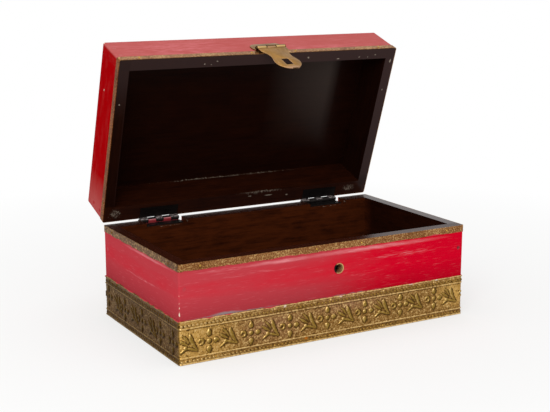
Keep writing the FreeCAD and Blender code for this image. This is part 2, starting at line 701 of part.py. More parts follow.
def add_ridges(body):
    """Raised lines above and below each border row of the band."""
    for level in ("band_top - upper_border", "band_top - ridge_height", "band_lift",
                  "band_lift + lower_border - ridge_height"):
        sketch = new_sketch(body, "XY_Plane", level)
        rise = "(band_thickness + ridge_rise)"
        draw_rounded_rectangle(
            sketch, f"box_length + 2 * {rise}", f"box_width + 2 * {rise}", f"edge_round + {rise}",
        )
        draw_rounded_rectangle(sketch, "box_length", "box_width", "edge_round")
        pad(body, sketch, "ridge_height")


def cut_away(body, foot, height, x, y, width, depth):
    """Cut off all of a sheet that stands over a rectangle of the ground plan."""
    sketch = new_sketch(body, "XY_Plane", f"({foot}) - ({height})")
    draw_rectangle(sketch, x, y, width, depth)
    pocket(body, sketch, f"3 * ({height})", True)


def bands():
    foot = "band_lift"
    height = "band_top - band_lift"
    over = "box_length"
    across = (f"-{over}", f"2 * {over}")
    end = "box_width / 2 - band_return"
    gap_end = f"{end} - seam_gap"
    names = ("band_front", "band_back", "band_left", "band_right")
    sheets = [wrapped_sheet(name, foot, "0", height, "band_thickness") for name in names]
    for body in sheets:
        add_ridges(body)
    front, back, left, right = sheets
    cut_away(front, foot, height, across[0], f"-({end})", across[1], over)
    cut_away(back, foot, height, across[0], f"{end} - {over}", across[1], over)
    for body, start in ((left, "0"), (right, f"-{over}")):
        cut_away(body, foot, height, across[0], gap_end, across[1], over)
        cut_away(body, foot, height, across[0], f"-({gap_end}) - {over}", across[1], over)
        cut_away(body, foot, height, start, across[0], over, across[1])
    hole = "brass_pin_radius + fit_clearance"
    depth = "brass_pin_length"
    for body, row in ((front, band_front_row), (back, band_back_row)):
        drill(body, row, hole, depth)
        drill(body, band_left_row, hole, depth)
        drill(body, band_right_row, hole, depth)
    drill(left, band_left_row, hole, depth)
    drill(right, band_right_row, hole, depth)


def rim_strips(prefix, level, middle_y, rows):
    """Two lengths of strip round a rim, meeting at the seam in front and behind."""
    over = "box_length"
    cuts = {"left": "strip_seam_x - seam_gap / 2", "right": f"strip_seam_x + seam_gap / 2 - {over}"}
    strips = []
    for side, start in cuts.items():
        body = wrapped_sheet(f"{prefix}_rim_strip_{side}", level, middle_y, "strip_height", "strip_thickness")
        cut_away(body, level, "strip_height", start, f"({middle_y}) - {over}", over, f"2 * {over}")
        for row in rows:
            if row.plane == "XZ_Plane" or (side == "left") == row.along:
                drill(body, row, "brass_pin_radius + fit_clearance", "brass_pin_length")
        strips.append(body)
    return strips


# Hinges

def knuckle_cuts(body, length, count, kept, radius, plane, level, depth, foot):
    """Room between a leaf's own knuckles for the other leaf's."""
    sketch = new_sketch(body, plane, level)
    for step in range(count):
        if step in kept:
            continue
        start = f"-{length} / 2 + {step} * {length} / {count} - knuckle_gap / 2"
        width = f"{length} / {count} + knuckle_gap"
        draw_rectangle(sketch, start, foot, width, f"2 * {radius} + 2 * knuckle_gap")
    pocket(body, sketch, depth)


def barrel(body, length, radius):
    sketch = new_sketch(body, "YZ_Plane", f"-{length} / 2")
    draw_circle(sketch, "0", "0", radius)
    pad(body, sketch, length)


def bore(body, length, radius):
    sketch = new_sketch(body, "YZ_Plane", f"{length} / 2")
    draw_circle(sketch, "0", "0", f"{radius} + fit_clearance")
    pocket(body, sketch, length)


def draw_leaf(sketch, on_lid):
    """A leaf's section: a strip whose outer face rolls on round the pin, below the axis or above it."""
    sign = "" if on_lid else "-"
    far = "-(hinge_offset + hinge_leaf)"
    outer = f"{sign}knuckle_radius"
    inner = f"{sign}{LEAF_FACE}"
    meeting = f"-sqrt(knuckle_radius ^ 2 - {LEAF_FACE} ^ 2)"
    lean = math.asin(number_of(LEAF_FACE) / number_of("knuckle_radius"))
    if on_lid:
        roll = draw_arc(sketch, ("0", "0"), "knuckle_radius", math.pi - lean, 5 * math.pi / 2)
    else:
        roll = draw_arc(sketch, ("0", "0"), "knuckle_radius", -math.pi / 2, math.pi + lean)
    roll_outer, roll_inner = (2, 1) if on_lid else (1, 2)
    outer_line = draw_line(sketch, (far, outer), ("0", outer))
    inner_line = draw_line(sketch, (meeting, inner), (far, inner))
    edge_line = draw_line(sketch, (far, inner), (far, outer))
    join(sketch, outer_line, 2, roll, roll_outer)
    join(sketch, roll, roll_inner, inner_line, 1)
    join(sketch, inner_line, 2, edge_line, 1)
    join(sketch, edge_line, 2, outer_line, 1)
    join(sketch, roll, 3, -1, 1)
    for line in (outer_line, inner_line):
        sketch.addConstraint(Sketcher.Constraint("Horizontal", line))
    sketch.addConstraint(Sketcher.Constraint("Vertical", edge_line))
    sketch.addConstraint(Sketcher.Constraint("PointOnObject", outer_line, 2, -2))
    limit(sketch, "Radius", roll, "knuckle_radius")
    limit(sketch, "DistanceX", -1, 1, outer_line, 1, far)
    limit(sketch, "DistanceY", -1, 1, inner_line, 1, inner)


def hinge_leaf(label, middle, knuckles, on_lid):
    """One leaf with its share of the knuckles, about the hinge axis."""
    body = new_body(label)
    sketch = new_sketch(body, "YZ_Plane", "-hinge_length / 2")
    draw_leaf(sketch, on_lid)
    pad(body, sketch, "hinge_length")
    bore(body, "hinge_length", "hinge_pin_radius")
    knuckle_cuts(
        body, "hinge_length", HINGE_KNUCKLES, knuckles, "knuckle_radius",
        "XY_Plane", "2 * knuckle_radius", "4 * knuckle_radius", "-(knuckle_radius + knuckle_gap)",
    )
    level = LEAF_FACE if on_lid else f"-{LEAF_FACE}"
    row = Row("XY_Plane", level, [(x, lid_screw_y) for x in mirrored("screw_pitch / 2")], on_lid)
    sink_screws(body, row, "leaf_thickness")
    if on_lid:
        put_on_lid(body, middle)
    else:
        put_at(body, middle, HINGE_Y, HINGE_Z)


def headed_pin(label, length, radius, head):
    """A pin along X with a peened head just past each end of its barrel."""
    body = new_body(label)
    reach = f"{length} + 2 * knuckle_gap"
    sketch = new_sketch(body, "YZ_Plane", f"-({reach}) / 2")
    draw_circle(sketch, "0", "0", radius)
    pad(body, sketch, reach)
    for side, backward in (("", False), ("-", True)):
        sketch = new_sketch(body, "YZ_Plane", f"{side}({reach}) / 2")
        draw_circle(sketch, "0", "0", head)
        pad(body, sketch, "pin_head_height", backward)
    return body


def hinges():
    for side, middle in (("left", LEFT_HINGE), ("right", RIGHT_HINGE)):
        hinge_leaf(f"{side}_hinge_base_leaf", middle, BASE_KNUCKLES, False)
        hinge_leaf(f"{side}_hinge_lid_leaf", middle, LID_KNUCKLES, True)
        pin = headed_pin(f"{side}_hinge_pin", "hinge_length", "hinge_pin_radius", "pin_head_radius")
        put_at(pin, middle, HINGE_Y, HINGE_Z)
    screws("base_hinge_screws", base_screw_row, "leaf_thickness")
    put_on_lid(screws("lid_hinge_screws", lid_screw_row, "leaf_thickness"))


# Hasp and its socket

def hasp_leaf():
    """The fixed leaf on the lid's face, with the two outer knuckles."""
    body = new_body("hasp_leaf")
    sketch = new_sketch(body, "XZ_Plane", "-hasp_offset", "0", "hasp_leaf_height / 2")
    draw_rounded_rectangle(sketch, "hasp_leaf_width", "hasp_leaf_height", "hasp_leaf_round")
    pad(body, sketch, "hasp_leaf_thickness")
    # The sheet rises from the face and rolls round the pin
    sketch = new_sketch(body, "YZ_Plane", "-hasp_width / 2")
    draw_rectangle(sketch, "0", "0", "hasp_offset - hasp_leaf_thickness / 2", "hasp_barrel_radius")
    pad(body, sketch, "hasp_width")
    barrel(body, "hasp_width", "hasp_barrel_radius")
    bore(body, "hasp_width", "hasp_pin_radius")
    knuckle_cuts(
        body, "hasp_width", HASP_KNUCKLES, (0, 2), "hasp_barrel_radius", "XZ_Plane", "2 * hasp_offset",
        "4 * hasp_offset", "-(hasp_barrel_radius + knuckle_gap)",
    )
    sink_screws(body, hasp_screw_row, "hasp_leaf_thickness")
    put_hasp(body)
    pin = headed_pin("hasp_pin", "hasp_width", "hasp_pin_radius", "hasp_pin_radius + pin_head_height / 2")
    put_hasp(pin)
    put_hasp(screws("hasp_screws", hasp_screw_row, "hasp_leaf_thickness"))


def draw_plate(sketch):
    """The plate's outline below the axis: a square root, hollow sides and a round end."""
    tongue = "(hasp_width / 3 - knuckle_gap) / 2"
    edge = "plate_width / 2"
    head = "-(hasp_pin_radius + fit_clearance + knuckle_gap)"
    root = "-(hasp_barrel_radius + knuckle_gap)"
    side = "-plate_side"
    right = [(tongue, head), (tongue, root), (edge, root), (edge, side)]
    left = [(f"-({x})", y) for x, y in reversed(right)]
    right_lines = [draw_line(sketch, right[n], right[n + 1]) for n in range(3)]
    left_lines = [draw_line(sketch, left[n], left[n + 1]) for n in range(3)]
    top_line = draw_line(sketch, left[-1], right[0])
    reach = "sqrt(lobe_radius ^ 2 - (lobe_drop - shoulder_drop) ^ 2)"
    shoulder = FreeCAD.Vector(number_of(reach), -number_of("shoulder_drop"), 0)
    radius = number_of("waist_radius")
    waists = []
    for sign in (1, -1):
        start = FreeCAD.Vector(sign * number_of(edge), number_of(side), 0)
        end = FreeCAD.Vector(sign * shoulder.x, shoulder.y, 0)
        chord = end - start
        sag = radius - (radius ** 2 - chord.Length ** 2 / 4) ** 0.5
        inward = FreeCAD.Vector(sign * chord.y, -sign * chord.x, 0).normalize()
        middle = (start + end) / 2 + inward * sag
        # Both arcs run against the clock, as a sketch stores them
        first, last = (start, end) if sign > 0 else (end, start)
        waists.append(sketch.addGeometry(Part.Arc(first, middle, last)))
    lobe = sketch.addGeometry(Part.Arc(
        FreeCAD.Vector(-shoulder.x, shoulder.y, 0),
        FreeCAD.Vector(0, -number_of("lobe_drop + lobe_radius"), 0),
        FreeCAD.Vector(shoulder.x, shoulder.y, 0),
    ))
    for n in range(2):
        join(sketch, right_lines[n], 2, right_lines[n + 1], 1)
        join(sketch, left_lines[n], 2, left_lines[n + 1], 1)
    join(sketch, top_line, 1, left_lines[2], 2)
    join(sketch, top_line, 2, right_lines[0], 1)
    for lines, points in ((right_lines, right), (left_lines, left)):
        for line, point in zip(lines, points):
            fix_point(sketch, line, 1, *point)
        fix_point(sketch, lines[2], 2, *points[3])
    # An arc's ends are stored against the clock, so each end is found by its place
    for waist, line, end in ((waists[0], right_lines[2], 2), (waists[1], left_lines[0], 1)):
        upper = 1 if sketch.Geometry[waist].StartPoint.y > sketch.Geometry[waist].EndPoint.y else 2
        join(sketch, waist, upper, line, end)
        lobe_end = nearer_end(sketch, lobe, sketch.Geometry[waist].StartPoint if upper == 2
                              else sketch.Geometry[waist].EndPoint)
        join(sketch, waist, 3 - upper, lobe, lobe_end)
        limit(sketch, "Radius", waist, "waist_radius")
        limit(sketch, "DistanceY", -1, 1, waist, 3 - upper, "-shoulder_drop")
    limit(sketch, "Radius", lobe, "lobe_radius")
    fix_point(sketch, lobe, 3, "0", "-lobe_drop")


def nearer_end(sketch, arc, point):
    curve = sketch.Geometry[arc]
    return 1 if curve.StartPoint.distanceToPoint(point) < curve.EndPoint.distanceToPoint(point) else 2


def draw_lip(sketch):
    """A quarter curl that leaves the plate's end and turns to the front."""
    quarter = math.pi / 2
    centre = ("-(plate_offset + plate_thickness / 2 + lip_radius)", "-lip_drop")
    inner = draw_arc(sketch, centre, "lip_radius", -quarter, 0)
    outer = draw_arc(sketch, centre, "lip_radius + plate_thickness", -quarter, 0)
    inner_arc = sketch.Geometry[inner]
    outer_arc = sketch.Geometry[outer]
    root = sketch.addGeometry(Part.LineSegment(inner_arc.EndPoint, outer_arc.EndPoint))
    tip = sketch.addGeometry(Part.LineSegment(inner_arc.StartPoint, outer_arc.StartPoint))
    join(sketch, inner, 2, root, 1)
    join(sketch, outer, 2, root, 2)
    join(sketch, inner, 1, tip, 1)
    join(sketch, outer, 1, tip, 2)
    join(sketch, inner, 3, outer, 3)
    sketch.addConstraint(Sketcher.Constraint("Horizontal", root))
    sketch.addConstraint(Sketcher.Constraint("Vertical", tip))
    sketch.addConstraint(Sketcher.Constraint("Horizontal", inner, 3, inner, 2))
    sketch.addConstraint(Sketcher.Constraint("Vertical", inner, 3, inner, 1))
    fix_point(sketch, inner, 3, *centre)
    limit(sketch, "Radius", inner, "lip_radius")
    limit(sketch, "Radius", outer, "lip_radius + plate_thickness")


def hasp_plate():
    """The swinging plate with the middle knuckle, about the hasp's axis."""
    body = new_body("hasp_plate")
    face = "plate_offset + plate_thickness / 2"
    sketch = new_sketch(body, "XZ_Plane", face)
    draw_plate(sketch)
    pad(body, sketch, "plate_thickness", True)
    # The round end stops where the lip starts to curl
    sketch = new_sketch(body, "XZ_Plane", "2 * hasp_offset")
    draw_rectangle(
        sketch, "-plate_width", "-(lip_drop + 2 * lobe_radius)", "2 * plate_width", "2 * lobe_radius",
    )
    pocket(body, sketch, "4 * hasp_offset")
    sketch = new_sketch(body, "YZ_Plane", "-lip_width / 2")
    draw_lip(sketch)
    pad(body, sketch, "lip_width")
    tongue = "hasp_width / 3 - knuckle_gap"
    sketch = new_sketch(body, "YZ_Plane", f"-({tongue}) / 2")
    draw_circle(sketch, "0", "0", "hasp_barrel_radius")
    pad(body, sketch, tongue)
    bore(body, "hasp_width", "hasp_pin_radius")
    sketch = new_sketch(body, "XZ_Plane", "2 * hasp_offset")
    draw_rectangle(sketch, "-slot_width / 2", "-(slot_drop + slot_length / 2)", "slot_width", "slot_length")
    pocket(body, sketch, "4 * hasp_offset")
    put_hasp(body, "hasp_hang")


def staple_socket():
    body = new_body("staple_socket")
    sketch = new_sketch(body, "XZ_Plane", "box_width / 2 + socket_stand")
    draw_circle(sketch, SOCKET_X, SOCKET_Z, "socket_radius")
    draw_circle(sketch, SOCKET_X, SOCKET_Z, "socket_bore")
    pad(body, sketch, "front_wall + socket_stand", True)


def check_and_write():
    """Refuse a model with a failed object, then write one file for each sub-part."""
    document.recompute()
    for item in document.Objects:
        if "Invalid" in item.State or "Error" in item.State:
            raise ValueError("failed: " + item.Label)
    os.makedirs("parts", exist_ok=True)
    for body in subparts:
        if body.Shape.isNull() or not body.Shape.isValid() or not body.Shape.Solids:
            raise ValueError("no valid solid: " + body.Label)
    for body in subparts:
        body.Shape.exportStep(f"parts/{body.Label}.step")


base_boards()
lid_boards()
bands()
strip_rows_of_base = [strip_front_row, strip_back_row, strip_left_row, strip_right_row]
strip_rows_of_lid = [lid_strip_front_row, lid_strip_back_row, lid_strip_left_row, lid_strip_right_row]
for strip in rim_strips("base", "base_height - strip_height", "0", strip_rows_of_base):
    cut_for_hinges(strip)
for strip in rim_strips("lid", LID_RIM, LID_MIDDLE, strip_rows_of_lid):
    cut_mortises(strip)
    put_on_lid(strip)
hinges()
hasp_leaf()
hasp_plate()
staple_socket()
check_and_write()
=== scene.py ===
import json
import math

import bmesh
import bpy
import numpy as np
from mathutils import Matrix, Vector


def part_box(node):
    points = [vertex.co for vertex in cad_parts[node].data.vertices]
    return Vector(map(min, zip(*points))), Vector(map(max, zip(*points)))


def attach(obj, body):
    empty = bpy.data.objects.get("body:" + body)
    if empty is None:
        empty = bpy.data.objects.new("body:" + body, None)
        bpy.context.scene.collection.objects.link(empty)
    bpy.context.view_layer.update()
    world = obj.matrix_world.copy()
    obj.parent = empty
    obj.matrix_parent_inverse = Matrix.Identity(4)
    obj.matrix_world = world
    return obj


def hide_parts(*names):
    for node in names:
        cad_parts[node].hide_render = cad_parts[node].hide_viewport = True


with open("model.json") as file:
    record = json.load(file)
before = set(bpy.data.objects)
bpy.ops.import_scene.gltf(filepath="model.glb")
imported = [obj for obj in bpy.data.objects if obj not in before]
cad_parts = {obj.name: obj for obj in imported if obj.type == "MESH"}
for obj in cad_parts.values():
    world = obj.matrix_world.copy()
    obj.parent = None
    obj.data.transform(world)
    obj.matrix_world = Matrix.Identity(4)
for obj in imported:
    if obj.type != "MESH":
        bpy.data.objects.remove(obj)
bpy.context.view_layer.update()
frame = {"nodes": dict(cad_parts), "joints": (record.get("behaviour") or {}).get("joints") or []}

bl_info = {
    "name": "Jewellery box",
    "version": (1, 0, 0),
    "blender": (4, 5, 0),
    "location": "View3D > Sidebar > Jewellery box",
    "description": "Dresses a red painted jewellery box with embossed brass, varnished wood and iron hinges",
    "category": "Object",
}

# Lengths are millimetres in the box's own frame, but metres in the properties and on the stage.
MM = 0.001


def corners(*nodes):
    """Lowest and highest corner of several pieces of the frame together, in millimetres."""
    boxes = [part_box(node) for node in nodes]
    low = np.min([list(box[0]) for box in boxes], axis=0) / MM
    high = np.max([list(box[1]) for box in boxes], axis=0) / MM
    return low, high


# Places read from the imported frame
BASE_BOARDS = ["base_front_wall", "base_back_wall", "base_left_wall", "base_right_wall", "base_bottom_board"]
LID_BOARDS = ["lid_front_wall", "lid_back_wall", "lid_left_wall", "lid_right_wall", "lid_top_board"]
HALF_LENGTH, HALF_WIDTH, BASE_RIM = corners(*BASE_BOARDS)[1]
BAND_LOW, BAND_HIGH = corners("band_left")[0][2], corners("band_left")[1][2]
BAND_SEAM = -corners("band_left")[0][1]
BAND_TURN = -corners("band_front")[1][1]
STRIP_LOW = corners("base_rim_strip_left")[0][2]
LID_JOINT = next(joint for joint in frame["joints"] if joint["name"] == "lid_hinge")
LID_AXIS = np.array(LID_JOINT["pos_m"]) / MM
LID_ANGLE = math.radians(-LID_JOINT["range_deg"][0])
HASP_JOINT = next(joint for joint in frame["joints"] if joint["name"] == "hasp_hinge")
# Rounding of the boards' upright edges, gap under the shut lid, and the lid's own height
EDGE_ROUND = 1.5
LID_GAP = 0.4
LID_HEIGHT = 42.0


def linear(text):
    """An sRGB hex colour as the linear red, green and blue that shaders take."""
    values = [int(text[at:at + 2], 16) / 255 for at in (1, 3, 5)]
    return [v / 12.92 if v <= 0.04045 else ((v + 0.055) / 1.055) ** 2.4 for v in values]


def hue(text, name, description):
    """A colour that a user may change."""
    return bpy.props.FloatVectorProperty(
        name=name, description=description, default=linear(text), subtype="COLOR", min=0, max=1)


def length(default, name, description):
    """A length that a user may change, with its default in millimetres."""
    return bpy.props.FloatProperty(
        name=name, description=description, default=default * MM, unit="LENGTH", precision=5)


class BoxColours(bpy.types.PropertyGroup):
    """Colours of the paint, wood and metals."""
    paint_deep: hue("#D00224", "Deep paint", "Fresh red where the paint is thick")
    paint_lid: hue("#A20005", "Lid paint", "Darker red on the ends of the lid")
    # Pale red of faded paint, which on the base's left is also painted sheen
    paint_faded: hue("#BE3E47", "Faded paint", "Red where the paint has faded")
    # Chalky red of the lid's front: faded paint, and painted sheen of the light above
    paint_chalk_sheen: hue("#B95E5B", "Chalky paint", "Most faded paint, on the lid's front")
    paint_streak: hue("#DE8288", "Paint streak", "Pale bristle marks in the paint")
    paint_grime: hue("#8E2A30", "Paint grime", "Dirty red on the hinge knuckles")
    primer: hue("#E9D8C2", "Primer", "Cream ground that shows where paint has chipped")
    stain_dark: hue("#120604", "Dark stain", "Varnished wood inside the lid")
    stain_brown: hue("#4A200C", "Brown stain", "Lighter stained wood inside the base")
    stain_rim: hue("#32201E", "Lid rim", "Worn stain on the lid's rim")
    stain_sill: hue("#301208", "Base rim", "Stain on the base's rim")
    smear: hue("#8E7E80", "Smear", "Grey glue above the brass band")
    # Painted reflection: the pale tint of the light in the varnish inside the lid
    varnish_reflection: hue("#5C504A", "Dust", "Dull haze on the varnish")
    # Also the colour of painted shadow on the brass
    brass_recess: hue("#553C1A", "Brass recess", "Tarnish in the hollows of the embossed band")
    brass_ground: hue("#8E6834", "Brass ground", "Embossed brass away from edges")
    brass_olive: hue("#927430", "Olive brass", "Bodies of the embossed motifs")
    brass_pale: hue("#D0A456", "Pale brass", "Ground of the band near its ends")
    rust: hue("#B87024", "Rust", "Spot of rust at the foot of the band")
    brass_rosy: hue("#966C4E", "Rosy brass", "Copper-coloured bloom on the band")
    brass_gold: hue("#B48C44", "Golden brass", "Cleaner brass of the small pins")
    # Also the colour of painted highlights on the brass
    brass_high: hue("#DCBA7C", "Brass highlight", "Rubbed tops and edges of the brass")
    brass_strip: hue("#8A5832", "Strip brass", "Coppery brass of the rim strips")
    # Painted shade: tint that darkens the brass at the box's left end
    brass_left_shade: hue("#98907A", "Brass film", "Tint of the dull film on the brass at the left end")
    bead_brass: hue("#8E6C32", "Bead brass", "Beads along the band's edges")
    # Painted shade: warmer tint that darkens the lid's strip at the left end
    lid_left_shade: hue("#C9A06E", "Lid film", "Warmer film on the lid's strip at the left end")
    fitting_brass: hue("#946C30", "Fitting brass", "Plain brass of the hasp's plate")
    socket_brass: hue("#B8845A", "Socket brass", "Coppery brass of the staple's socket")
    # Pale brass of the plate: rubbed places, and the painted highlight of its lip
    lip_brass: hue("#C09A7C", "Lip brass", "Rubbed, pinkish brass of the hasp's lip")
    leaf_brass: hue("#84643A", "Leaf brass", "Duller brass of the hasp's fixed leaf")
    iron: hue("#191514", "Iron", "Blackened iron of hinges and nails")
    # Painted highlight on the tops of the hinge knuckles
    iron_highlight: hue("#A89E9C", "Worn iron", "Bare metal on the knuckles")


class BandSizes(bpy.types.PropertyGroup):
    """Sizes of the embossed pattern."""
    step: length(0.38, "Grid step", "Distance between two points of an embossed sheet")
    ground: length(0.45, "Ground", "Thickness of the sheet between the motifs")
    relief: length(0.8, "Relief", "How far the motifs stand out from the ground")
    bead_pitch: length(3.8, "Bead pitch", "Distance between two beads of the border rows")
    bead_radius: length(1.4, "Bead radius", "Radius of a border bead")
    bead_height: length(0.65, "Bead height", "How far a bead stands out from the sheet")
    pin_radius: length(1.2, "Pin radius", "Radius of a brass pin's domed head")
    pin_height: length(0.7, "Pin height", "Height of a brass pin's domed head")


class StageSettings(bpy.types.PropertyGroup):
    """Floor, lamps and camera."""
    floor: hue("#F4F4F2", "Floor", "Colour of the pale floor")
    lens: bpy.props.FloatProperty(
        name="Lens", description="Focal length for a 36 mm wide sensor", default=74.956, unit="CAMERA")
    key_power: bpy.props.FloatProperty(
        name="Key lamp", description="Power of the large lamp at the front left", default=20.0, unit="POWER")
    top_power: bpy.props.FloatProperty(
        name="Top lamp", description="Power of the lamp above the box", default=6.5, unit="POWER")
    sky: bpy.props.FloatProperty(
        name="Room light", description="Strength of the even light from all round", default=0.55)


class JewelleryBox(bpy.types.PropertyGroup):
    """Everything a user may change."""
    colours: bpy.props.PointerProperty(type=BoxColours)
    band: bpy.props.PointerProperty(type=BandSizes)
    stage: bpy.props.PointerProperty(type=StageSettings)


# Map Range takes its inputs in order: the value, the range that it comes from, and the range that it goes to,
# which is 0 to 1 where it isn't given. Mix takes them by number: 0 is the share, 2 and 3 are two numbers, and
# 6 and 7 are two colours.
COLOUR_MIX = {"out": 2, "data_type": "RGBA"}


def put(tree, kind, *inputs, out=0, **settings):
    """Adds a node with its settings and inputs, and returns one output.

    Inputs are values or other nodes' outputs, in their order or in a dictionary by name or number."""
    made = tree.nodes.new(kind if "Node" in kind else "ShaderNode" + kind)
    for name, value in settings.items():
        setattr(made, name, value)
    by_key = inputs[0] if inputs and isinstance(inputs[0], dict) else dict(enumerate(inputs))
    for key, value in by_key.items():
        if isinstance(value, bpy.types.NodeSocket):
            tree.links.new(value, made.inputs[key])
        else:
            made.inputs[key].default_value = value
    return made.outputs[out] if len(made.outputs) else made


def opaque(colour, share=1.0):
    """A colour with full cover, as colour sockets take it, made darker or lighter by a share."""
    return (*[share * c for c in colour], 1.0)


def new_material(name):
    """An empty node material, new or with this name already, and its tree."""
    material = bpy.data.materials.get(name) or bpy.data.materials.new(name)
    material.use_nodes = True
    material.node_tree.nodes.clear()
    return material, material.node_tree


def place_in_mm(tree, on_lid):
    """Object coordinates in millimetres. On the lid they are turned back to where the shut lid lies."""
    place = put(tree, "TexCoord", out="Object")
    if not on_lid:
        return put(tree, "Mapping", {"Vector": place, "Scale": (1 / MM,) * 3})
    turn = Matrix.Rotation(LID_ANGLE, 3, "X")
    shift = Vector(LID_AXIS) - turn @ Vector(LID_AXIS)
    return put(tree, "Mapping", {
        "Vector": place, "Scale": (1 / MM,) * 3, "Rotation": (LID_ANGLE, 0, 0), "Location": shift})


def start_finish(name, on_lid):
    """What every finish starts from: its material and tree, places on the box, and the box's colours."""
    material, tree = new_material(name)
    return material, tree, place_in_mm(tree, on_lid), bpy.context.scene.jewellery_box.colours


def end_finish(tree, bump, look):
    """Closes a finish with its bump, as height, strength and depth, and the shader's other inputs."""
    height, strength, depth = bump
    normal = put(tree, "Bump", {"Height": height, "Strength": strength, "Distance": depth * MM})
    shader = put(tree, "BsdfPrincipled", {**look, "Normal": normal})
    put(tree, "OutputMaterial", {"Surface": shader})


def blot(tree, at, middle, reach, soft):
    """A soft patch on a surface: 1 about its middle, falling to 0 at its reach along each axis."""
    away = put(tree, "VectorMath", at, middle, operation="SUBTRACT")
    share = put(tree, "VectorMath", away, [1 / r for r in reach], operation="MULTIPLY")
    distance = put(tree, "VectorMath", share, out="Value", operation="LENGTH")
    return put(tree, "MapRange", distance, 1.0, 1.0 - soft)


def blots(tree, at, patches, soft):
    """Several patches together, each as its middle and its reach."""
    cover = blot(tree, at, *patches[0], soft)
    for middle, reach in patches[1:]:
        patch = blot(tree, at, middle, reach, soft)
        cover = put(tree, "Math", cover, patch, operation="MAXIMUM")
    return cover


def ragged(tree, at, amount, grit):
    """The place shaken by noise, so that the outline of a patch drawn there comes out uneven."""
    shake = put(tree, "TexNoise", {"Vector": at, "Scale": 1 / grit, "Detail": 3.0}, out="Color")
    shift = put(tree, "VectorMath", shake, (2 * amount,) * 3, (-amount,) * 3, operation="MULTIPLY_ADD")
    return put(tree, "VectorMath", at, shift, operation="ADD")


# Marks on the base, each as its middle and its reach: chips down to the primer, brushmarks, rubbed paint,
# glue, and worn edges of the hinge cuts
BASE_CHIPS = [
    ((-150, -84, 61.5), (0.9, 0.9, 1.2)), ((-150, -84, 53), (0.8, 0.8, 4.0)),
    ((-150, -84, 45), (0.9, 0.9, 3.4)), ((150, -84, 65), (0.9, 0.9, 1.4)), ((150, -84, 55), (0.8, 0.8, 2.2)),
]
BASE_STREAKS = [
    ((-105, -84, 79.0), (36, 3, 1.8)), ((-75, -84, 72.5), (46, 3, 1.5)), ((84, -84, 69.5), (52, 3, 2.6)),
    ((-150, -5, 57.5), (3, 40, 1.5)),
]
BASE_RUBBED = [
    ((44, -84, 79.6), (96, 3, 2.6)), ((-50, -84, 79.2), (46, 3, 2.2)), ((-150, -20, 80.8), (3, 62, 1.6)),
]
BASE_SMEARS = [
    ((-106, -84, 39.8), (18, 3, 2.4)), ((-96, -84, 39.3), (56, 3, 1.2)), ((20, -84, 39.3), (40, 3, 0.7)),
]
HINGE_CUT_EDGES = [
    ((-90, 69, 84.9), (24, 1.2, 0.6)), ((94, 69, 84.9), (24, 1.2, 0.5)), ((-68.6, 72, 87), (0.7, 5, 2.4)),
    ((115.4, 72, 87), (0.7, 5, 2.4)),
]
# Marks on the lid, given where the shut lid lies
LID_CHIPS = [
    ((-150, -42, 118), (2, 1.0, 0.9)), ((-150, -84, 130), (1.5, 1.5, 2.0)), ((150, -84, 96), (1.6, 1.6, 2.2)),
]
LID_SCUFFS = [
    ((20, 69, 90.2), (42, 3, 2.2)), ((-138, 76, 89.4), (9, 7, 2)), ((128, 76, 89.4), (11, 6, 2)),
    ((0, 69, 127), (138, 1.6, 1.6)),
]
LID_FLECKS = [
    ((-65, -76.4, 89.4), (0.9, 0.7, 2)), ((-58, -75.5, 89.4), (0.6, 0.6, 2)),
    ((-52, -78.6, 89.4), (0.9, 0.6, 2)), ((47, -78, 89.4), (1.3, 1.1, 2)), ((82, -75, 89.4), (2.2, 0.6, 2)),
    ((107, -76, 89.4), (0.9, 0.7, 2)), ((117, -75.5, 89.4), (0.6, 0.6, 2)),
    ((126, -77.5, 89.4), (1.0, 0.6, 2)), ((146, -70, 89.4), (1.0, 2.6, 2)), ((144, -38, 89.4), (0.7, 1.1, 2)),
    ((-146, -40, 89.4), (0.7, 0.9, 2)), ((30, 74, 89.4), (5.0, 0.7, 2)), ((52, 76, 89.4), (1.6, 0.9, 2)),
    ((8, 73, 89.4), (2.2, 0.6, 2)),
]
LID_STREAKS = [((-82, -84, 112), (66, 4, 24)), ((60, -84, 99), (74, 4, 8))]
# Patterns of brush and wood: length, width and depth, then detail, roughness and distortion of the noise
WOOD_PATTERNS = {
    "strokes": ((45, 5, 5), 5.0, 0.6, 0.0),
    "clouds": ((26, 14, 10), 6.0, 0.68, 0.0),
    "lines": ((11, 0.9, 0.9), 2.0, 0.6, 0.0),
    "grain": ((40, 3, 3), 4.0, 0.62, 0.4),
}
# Depth of the paint's skin, how far from a rim the paint ends, and a height that no board of the base reaches
SKIN_DEPTH = 0.9
RIM_EDGE = 0.6
NO_TOP = 1000.0


def wood_patterns(tree, at, along_x):
    """Brushmarks, cloudy patches, bristle lines and grain of a board, along its length."""
    made = {}
    for name, ((run, width, depth), detail, roughness, distortion) in WOOD_PATTERNS.items():
        scale = (1 / run, 1 / width, 1 / depth) if along_x else (1 / width, 1 / run, 1 / depth)
        place = put(tree, "VectorMath", at, scale, operation="MULTIPLY")
        made[name] = put(tree, "TexNoise", {
            "Vector": place, "Scale": 1.0, "Detail": detail, "Roughness": roughness,
            "Distortion": distortion})
    return made


def dry_brushed(tree, lines, streak):
    """How pale the dry-brushed bristle lines are, strongest in the long brushmarks."""
    dry = put(tree, "MapRange", lines, 0.42, 0.68)
    stray = put(tree, "MapRange", lines, 0.6, 0.75, 0.0, 0.2)
    pale = put(tree, "Math", dry, streak, operation="MULTIPLY")
    return put(tree, "Math", pale, 0.62, stray, operation="MULTIPLY_ADD", use_clamp=True)


